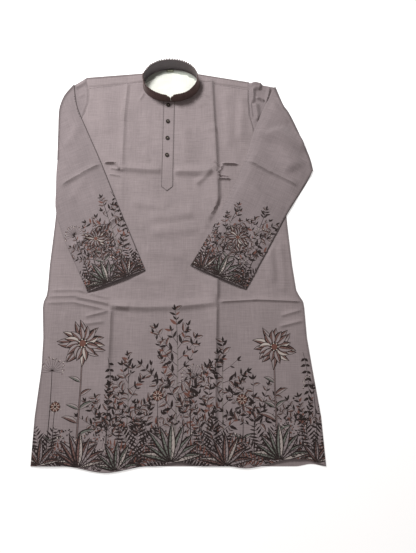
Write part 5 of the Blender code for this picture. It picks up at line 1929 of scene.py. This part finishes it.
def cuff_seams():
    """Across the upper layer of each sleeve, a hem's depth above its cuff."""
    lines = []
    for name in SLEEVES:
        sleeve = Sleeve(name)
        start = sleeve.corner + sleeve.up * CUFF_DEPTH
        points = [start + sleeve.along * mix(SEW_FROM, sleeve.width - SEW_FROM, i / CUFF_STEPS)
                  for i in range(CUFF_STEPS + 1)]
        lines.append(raised(points, sleeve.top))
    return lines


# Finishes


class Wire:
    """A socket of a finish. Sums and products of wires add the nodes that work them out."""

    def __init__(self, tree, socket=None):
        self.tree, self.socket = tree, socket

    def node(self, kind, settings, inputs, output=0):
        """Adds a node: its settings first, then the values and the wires of its sockets."""
        made = self.tree.nodes.new(kind)
        for name, value in settings.items():
            setattr(made, name, value)
        for key, value in inputs.items():
            if isinstance(value, Wire):
                self.tree.links.new(value.socket, made.inputs[key])
            else:
                made.inputs[key].default_value = value
        return Wire(self.tree, made.outputs[output])

    def maths(self, operation, first, second):
        """A node of vectors if this wire carries one, or else of numbers."""
        if self.socket.type == "VECTOR":
            pair = [(p,) * 3 if isinstance(p, (int, float)) else p for p in (first, second)]
            return self.node("ShaderNodeVectorMath", {"operation": operation}, dict(enumerate(pair)))
        return self.node("ShaderNodeMath", {"operation": operation}, {0: first, 1: second})

    def __add__(self, other):
        return self.maths("ADD", self, other)

    def __radd__(self, other):
        return self.maths("ADD", other, self)

    def __sub__(self, other):
        return self.maths("SUBTRACT", self, other)

    def __rsub__(self, other):
        return self.maths("SUBTRACT", other, self)

    def __mul__(self, other):
        return self.maths("MULTIPLY", self, other)

    def __rmul__(self, other):
        return self.maths("MULTIPLY", other, self)

    def spread(self, low, high, start=0.0, end=1.0):
        """Stretches a range to another, softly and held at its ends."""
        return self.node("ShaderNodeMapRange", {"interpolation_type": "SMOOTHSTEP"},
                         {"Value": self, "From Min": low, "From Max": high, "To Min": start, "To Max": end})

    def between(self, first, second):
        """A colour between two, by this wire as the share."""
        colours = {6: opaque(first), 7: opaque(second)}
        return self.node("ShaderNodeMix", {"data_type": "RGBA"}, {0: self, **colours}, 2)

    def tinted(self, colour):
        """A colour multiplied by this wire as a grey."""
        return self.node("ShaderNodeMix", {"data_type": "RGBA", "blend_type": "MULTIPLY"},
                         {0: 1.0, 6: opaque(colour), 7: self}, 2)

    def noise(self, scale, detail=2.0, roughness=0.5):
        """Clouds over a place, whose scale is given for each direction."""
        return self.node("ShaderNodeTexNoise", {},
                         {"Vector": self * scale, "Scale": 1.0, "Detail": detail, "Roughness": roughness})


def opaque(colour):
    return colour if isinstance(colour, Wire) else (*colour, 1.0)


def new_finish(name, specular, sheen=0.0):
    """A material with its Principled shader, and a wire to start from."""
    material = bpy.data.materials.new(name)
    material.use_nodes = True
    shader = material.node_tree.nodes["Principled BSDF"]
    shader.inputs["Sheen Weight"].default_value = sheen
    shader.inputs["Specular IOR Level"].default_value = specular
    return material, shader, Wire(material.node_tree)


def connect(tree, shader, colour, roughness, height, distance, strength):
    """Sends a colour, a roughness and a relief to a shader."""
    tree.tree.links.new(colour.socket, shader.inputs["Base Color"])
    tree.tree.links.new(roughness.socket, shader.inputs["Roughness"])
    bump = tree.node("ShaderNodeBump", {}, {"Strength": strength, "Distance": distance, "Height": height})
    tree.tree.links.new(bump.socket, shader.inputs["Normal"])


def linen(name, colour, streaks=0.13):
    """Slubby plain-weave linen with its print and its painted shade, whose threads run along the grain's two
    directions.
    """
    material, shader, tree = new_finish(name, 0.25, sheen=0.10)
    grain = tree.node("ShaderNodeUVMap", {"uv_map": GRAIN}, {})
    weft = grain.noise((22.0, 420.0, 1.0), 3.0, 0.6)
    warp = grain.noise((460.0, 18.0, 1.0), 3.0, 0.6)
    fine_weft = grain.noise((90.0, 1500.0, 1.0), 2.0)
    fine_warp = grain.noise((1500.0, 90.0, 1.0), 2.0)
    clouds = grain.noise((15.0, 8.0, 1.0), 4.0, 0.6)
    threads = weft * 0.9 + warp * 0.75 + fine_weft * 0.35 + fine_warp * 0.35
    shade = (threads - 1.175) * (streaks * 4.5) + clouds.spread(0.3, 0.7, 0.935, 1.055)
    ink = tree.node("ShaderNodeVertexColor", {"layer_name": PRINT_AND_SHADE}, {})
    strength = Wire(tree.tree, ink.socket.node.outputs["Alpha"])
    print_and_shade_cover = strength * (1.04 - (threads - 1.0) * 0.30)
    dyed = print_and_shade_cover.between(shade.tinted(colour), (shade * 0.35 + 0.65).tinted(ink))
    connect(tree, shader, dyed, threads.spread(0.7, 1.7, 0.80, 0.93), threads, 0.00045, 0.8)
    return material


def horn(name, colour):
    """Polished dark horn with a clouded grain."""
    material, shader, tree = new_finish(name, 0.16)
    place = tree.node("ShaderNodeTexCoord", {}, {}, "Object")
    clouds = place.noise((260.0, 90.0, 200.0), 4.0, 0.6)
    scratches = place.noise((2400.0, 700.0, 900.0), 2.0)
    shade = clouds.spread(0.35, 0.75)
    connect(tree, shader, shade.between(colour, [min(1.0, c * 1.8 + 0.004) for c in colour]),
            scratches.spread(0.3, 0.7, 0.40, 0.58), scratches, 0.00003, 0.5)
    return material


def thread_finish(name, colour):
    """Sewing thread with a twist."""
    material, shader, tree = new_finish(name, 0.3, sheen=0.3)
    place = tree.node("ShaderNodeTexCoord", {}, {}, "Object")
    twist = place.noise((1700.0, 1700.0, 2600.0), 2.0)
    connect(tree, shader, twist.spread(0.2, 0.8, 0.78, 1.12).tinted(colour),
            twist.spread(0.3, 0.7, 0.6, 0.85), twist, 0.00008, 0.8)
    return material


def ground_finish(name, colour):
    """The plain pale surface that the garment lies on."""
    material, shader, tree = new_finish(name, 0.2)
    shader.inputs["Emission Color"].default_value = (1.0, 1.0, 1.0, 1.0)
    shader.inputs["Emission Strength"].default_value = 0.45
    place = tree.node("ShaderNodeTexCoord", {}, {}, "Object")
    clouds = place.noise((3.0, 3.0, 3.0), 2.0)
    connect(tree, shader, clouds.spread(0.2, 0.8, 0.995, 1.005).tinted(colour),
            clouds.spread(0.3, 0.7, 0.85, 0.9), clouds, 0.0001, 0.1)
    return material


# Add-on


def shade(name, description, default):
    return FloatVectorProperty(name=name, description=description, default=default, subtype="COLOR", size=3,
                               min=0.0, max=1.0)


def size(name, description, default):
    return FloatProperty(name=name, description=description, default=default, unit="LENGTH", min=0.0,
                         precision=4)


class KurtaColours(bpy.types.PropertyGroup):
    """Colours of the cloth, the print, the buttons and the thread."""

    cloth: shade("Cloth", "Dye of the body", (0.262, 0.219, 0.223))
    # The sleeves are the body's cloth made darker: painted shade, where the sleeves lie in less light.
    sleeve: shade("Sleeves", "Dye of the sleeves, darker than the body's as painted shade", (0.232, 0.194, 0.199))
    # The collar's outside is the body's cloth at about half its brightness: painted shade of the standing
    # band.
    collar: shade("Collar", "Outside of the collar's band", (0.130, 0.084, 0.077))
    lining: shade("Lining", "Inside of the collar's band", (0.178, 0.160, 0.172))
    facing: shade("Facing", "Cloth inside the neck", (0.78, 0.80, 0.73))
    label: shade("Label", "Woven label without any words", (0.56, 0.60, 0.44))
    # The line ink is also the shade painted on edges and folds, and the green ink the painted shade of the
    # facing's band.
    line: shade("Line ink", "Ink of the print's outlines", (0.016, 0.009, 0.008))
    russet: shade("Russet ink", "Ink of the print's warm fills", (0.140, 0.060, 0.046))
    green: shade("Green ink", "Ink of the print's grey green fills", (0.127, 0.150, 0.122))
    cream: shade("Cream ink", "Ink of the print's light fills", (0.610, 0.552, 0.491))
    horn: shade("Buttons", "Dark horn of the buttons", (0.017, 0.011, 0.009))
    thread: shade("Thread", "Sewing of seams and hems", (0.060, 0.044, 0.044))
    pale_thread: shade("Pale thread", "Sewing of the buttons", (0.24, 0.20, 0.15))
    ground: shade("Ground", "The surface under the garment", (0.80, 0.80, 0.80))


class KurtaSizes(bpy.types.PropertyGroup):
    """Sizes of the sewing and the buttons."""

    stitch: size("Stitch", "Length of one stitch", 0.0026)
    pitch: size("Stitch pitch", "From one stitch to the next", 0.0038)
    button_gauge: size("Button gauge", "What a button's radius, holes and thread are shares of", BUTTON_GAUGE)
    button_thick: size("Button height", "From a button's back to its rim", BUTTON_THICK)
    seed: IntProperty(name="Print", description="Which of the print's variations is drawn", default=7, min=0)


FINISHES = {  # what makes it, its colour, and how streaky it is
    "printed linen": (linen, "cloth"),
    "sleeve linen": (linen, "sleeve"),
    "collar linen": (linen, "collar", 0.24),
    "facing linen": (linen, "facing", 0.06),
    "label linen": (linen, "label", 0.05),
    "dark horn": (horn, "horn"),
    "thread": (thread_finish, "thread"),
    "pale thread": (thread_finish, "pale_thread"),
    "ground": (ground_finish, "ground"),
}


def finished(key):
    """The finish of a kind, made once."""
    make, name, *streaks = FINISHES[key]
    colour = getattr(bpy.context.scene.kurta_colours, name)
    return bpy.data.materials.get(key) or make(key, colour, *streaks)


def inks():
    colours = bpy.context.scene.kurta_colours
    return {name: tuple(getattr(colours, name)) for name in (LINE, RUSSET, GREEN, CREAM)}


def dress(piece, slot, *nodes):
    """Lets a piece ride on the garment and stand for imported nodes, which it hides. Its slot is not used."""
    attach(piece, "root")
    if nodes:
        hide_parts(*nodes)


class KURTA_OT_body(bpy.types.Operator):
    """Make the back, the printed front and their hems"""

    bl_idname = "kurta.body"
    bl_label = "Body"

    def execute(self, context):
        back = make_back(finished("printed linen"), inks())
        dress(back, "cloth", "back_panel")
        front = make_front(finished("printed linen"), inks(), context.scene.kurta_sizes.seed)
        dress(front, "cloth", "front_panel")
        return {"FINISHED"}


class KURTA_OT_sleeves(bpy.types.Operator):
    """Make both sleeves, folded over the front"""

    bl_idname = "kurta.sleeves"
    bl_label = "Sleeves"

    def execute(self, context):
        for name, area in (("sleeve_left", 0.165), ("sleeve_right", 0.180)):
            sleeve = make_sleeve(name, finished("sleeve linen"), inks(), context.scene.kurta_sizes.seed + 3)
            dress(sleeve, "cloth", name)
        return {"FINISHED"}


class KURTA_OT_neck(bpy.types.Operator):
    """Make the collar, the placket, the facing inside the neck and its bare label"""

    bl_idname = "kurta.neck"
    bl_label = "Neck"

    def execute(self, context):
        placket = make_placket(finished("printed linen"), inks())
        dress(placket, "cloth", "placket")
        facing = make_facing(finished("facing linen"), inks())
        dress(facing, "facing", "neck_facing")
        label = make_label(finished("label linen"), inks())
        dress(label, "label", "neck_label")
        collar = make_collar(finished("collar linen"), context.scene.kurta_colours.lining)
        dress(collar, "collar", "collar_band")
        return {"FINISHED"}


class KURTA_OT_buttons(bpy.types.Operator):
    """Model one turned button with its thread and copy it down the placket"""

    bl_idname = "kurta.buttons"
    bl_label = "Buttons"

    def execute(self, context):
        sizes = context.scene.kurta_sizes
        base = BODY_TOP + GAP + PLACKET_CLOTH + GAP
        gauge, thick = sizes.button_gauge, sizes.button_thick
        centre = Vector((BUTTON_U, BUTTON_TOP_V, base + thick / 2)) - PLAN_MIDDLE
        first = model_button("button_1_horn", centre, gauge, thick, finished("dark horn"))
        thread = model_thread("button_1_thread", centre, gauge, thick, finished("pale thread"))
        for number in range(1, 5):
            shift = Vector((0.0, -(number - 1) * BUTTON_PITCH, 0.0))
            button = first if number == 1 else copied(first, f"button_{number}_horn", shift)
            knot = thread if number == 1 else copied(thread, f"button_{number}_thread", shift)
            dress(button, "button", f"button_{number}")
            dress(knot, "button")
        return {"FINISHED"}


class KURTA_OT_sewing(bpy.types.Operator):
    """Model one stitch and sew the placket, the hems and the cuffs with copies of it"""

    bl_idname = "kurta.sewing"
    bl_label = "Sewing"

    def execute(self, context):
        sizes = context.scene.kurta_sizes
        pattern = model_stitch(sizes.stitch)
        for name, lines in (("placket_stitches", placket_seams()), ("body_stitches", body_seams()),
                            ("cuff_stitches", cuff_seams())):
            stitches = sew(name, lines, pattern, sizes.pitch, finished("thread"))
            dress(stitches, "cloth")
        return {"FINISHED"}


class KURTA_OT_stage(bpy.types.Operator):
    """Lay the ground, hang the soft lights and set the camera"""

    bl_idname = "kurta.stage"
    bl_label = "Stage"

    def execute(self, context):
        bpy.ops.object.select_all(action="DESELECT")
        bpy.ops.mesh.primitive_plane_add(size=GROUND_SIZE, location=(0.0, 0.0, -GROUND_GAP))
        ground = context.object
        ground.name = "ground"
        settle(ground)
        ground.data.materials.append(finished("ground"))
        world = bpy.data.worlds.new("soft room")
        world.use_nodes = True
        room = world.node_tree.nodes["Background"].inputs
        room["Color"].default_value, room["Strength"].default_value = ROOM_COLOUR, ROOM_STRENGTH
        context.scene.world = world
        for name, place, width, energy in LIGHTS:
            lamp = bpy.data.lights.new(name, "AREA")
            lamp.energy, lamp.size = energy, width
            light = bpy.data.objects.new(name, lamp)
            light.location = place
            light.rotation_euler = (-Vector(place)).to_track_quat("-Z", "Y").to_euler()
            context.scene.collection.objects.link(light)
        lens = bpy.data.cameras.new("camera")
        lens.lens, lens.sensor_fit, lens.sensor_height = CAMERA_LENS, "VERTICAL", 36.0
        camera = bpy.data.objects.new("camera", lens)
        camera.location = CAMERA_PLACE
        camera.rotation_euler = (math.radians(CAMERA_TILT_DEG), 0.0, 0.0)
        context.scene.collection.objects.link(camera)
        context.scene.camera = camera
        context.scene.view_settings.view_transform = "Standard"
        return {"FINISHED"}


PARTS = (KURTA_OT_body, KURTA_OT_sleeves, KURTA_OT_neck, KURTA_OT_buttons, KURTA_OT_sewing, KURTA_OT_stage)


class KURTA_PT_panel(bpy.types.Panel):
    """The kurta's parts, sizes and colours in the sidebar."""

    bl_idname = "KURTA_PT_panel"
    bl_label = "Laid kurta"
    bl_space_type = "VIEW_3D"
    bl_region_type = "UI"
    bl_category = "Kurta"

    def draw(self, context):
        for group in (context.scene.kurta_colours, context.scene.kurta_sizes):
            for name in group.bl_rna.properties.keys():
                if name not in ("rna_type", "name"):
                    self.layout.prop(group, name)
        for part in PARTS:
            self.layout.operator(part.bl_idname)


CLASSES = (KurtaColours, KurtaSizes, *PARTS, KURTA_PT_panel)


def register():
    for made in CLASSES:
        bpy.utils.register_class(made)
    bpy.types.Scene.kurta_colours = bpy.props.PointerProperty(type=KurtaColours)
    bpy.types.Scene.kurta_sizes = bpy.props.PointerProperty(type=KurtaSizes)


def unregister():
    del bpy.types.Scene.kurta_colours
    del bpy.types.Scene.kurta_sizes
    for made in reversed(CLASSES):
        bpy.utils.unregister_class(made)


def main():
    register()
    bpy.ops.kurta.body()
    bpy.ops.kurta.sleeves()
    bpy.ops.kurta.neck()
    bpy.ops.kurta.buttons()
    bpy.ops.kurta.sewing()
    bpy.ops.kurta.stage()


if __name__ == "__main__":
    main()
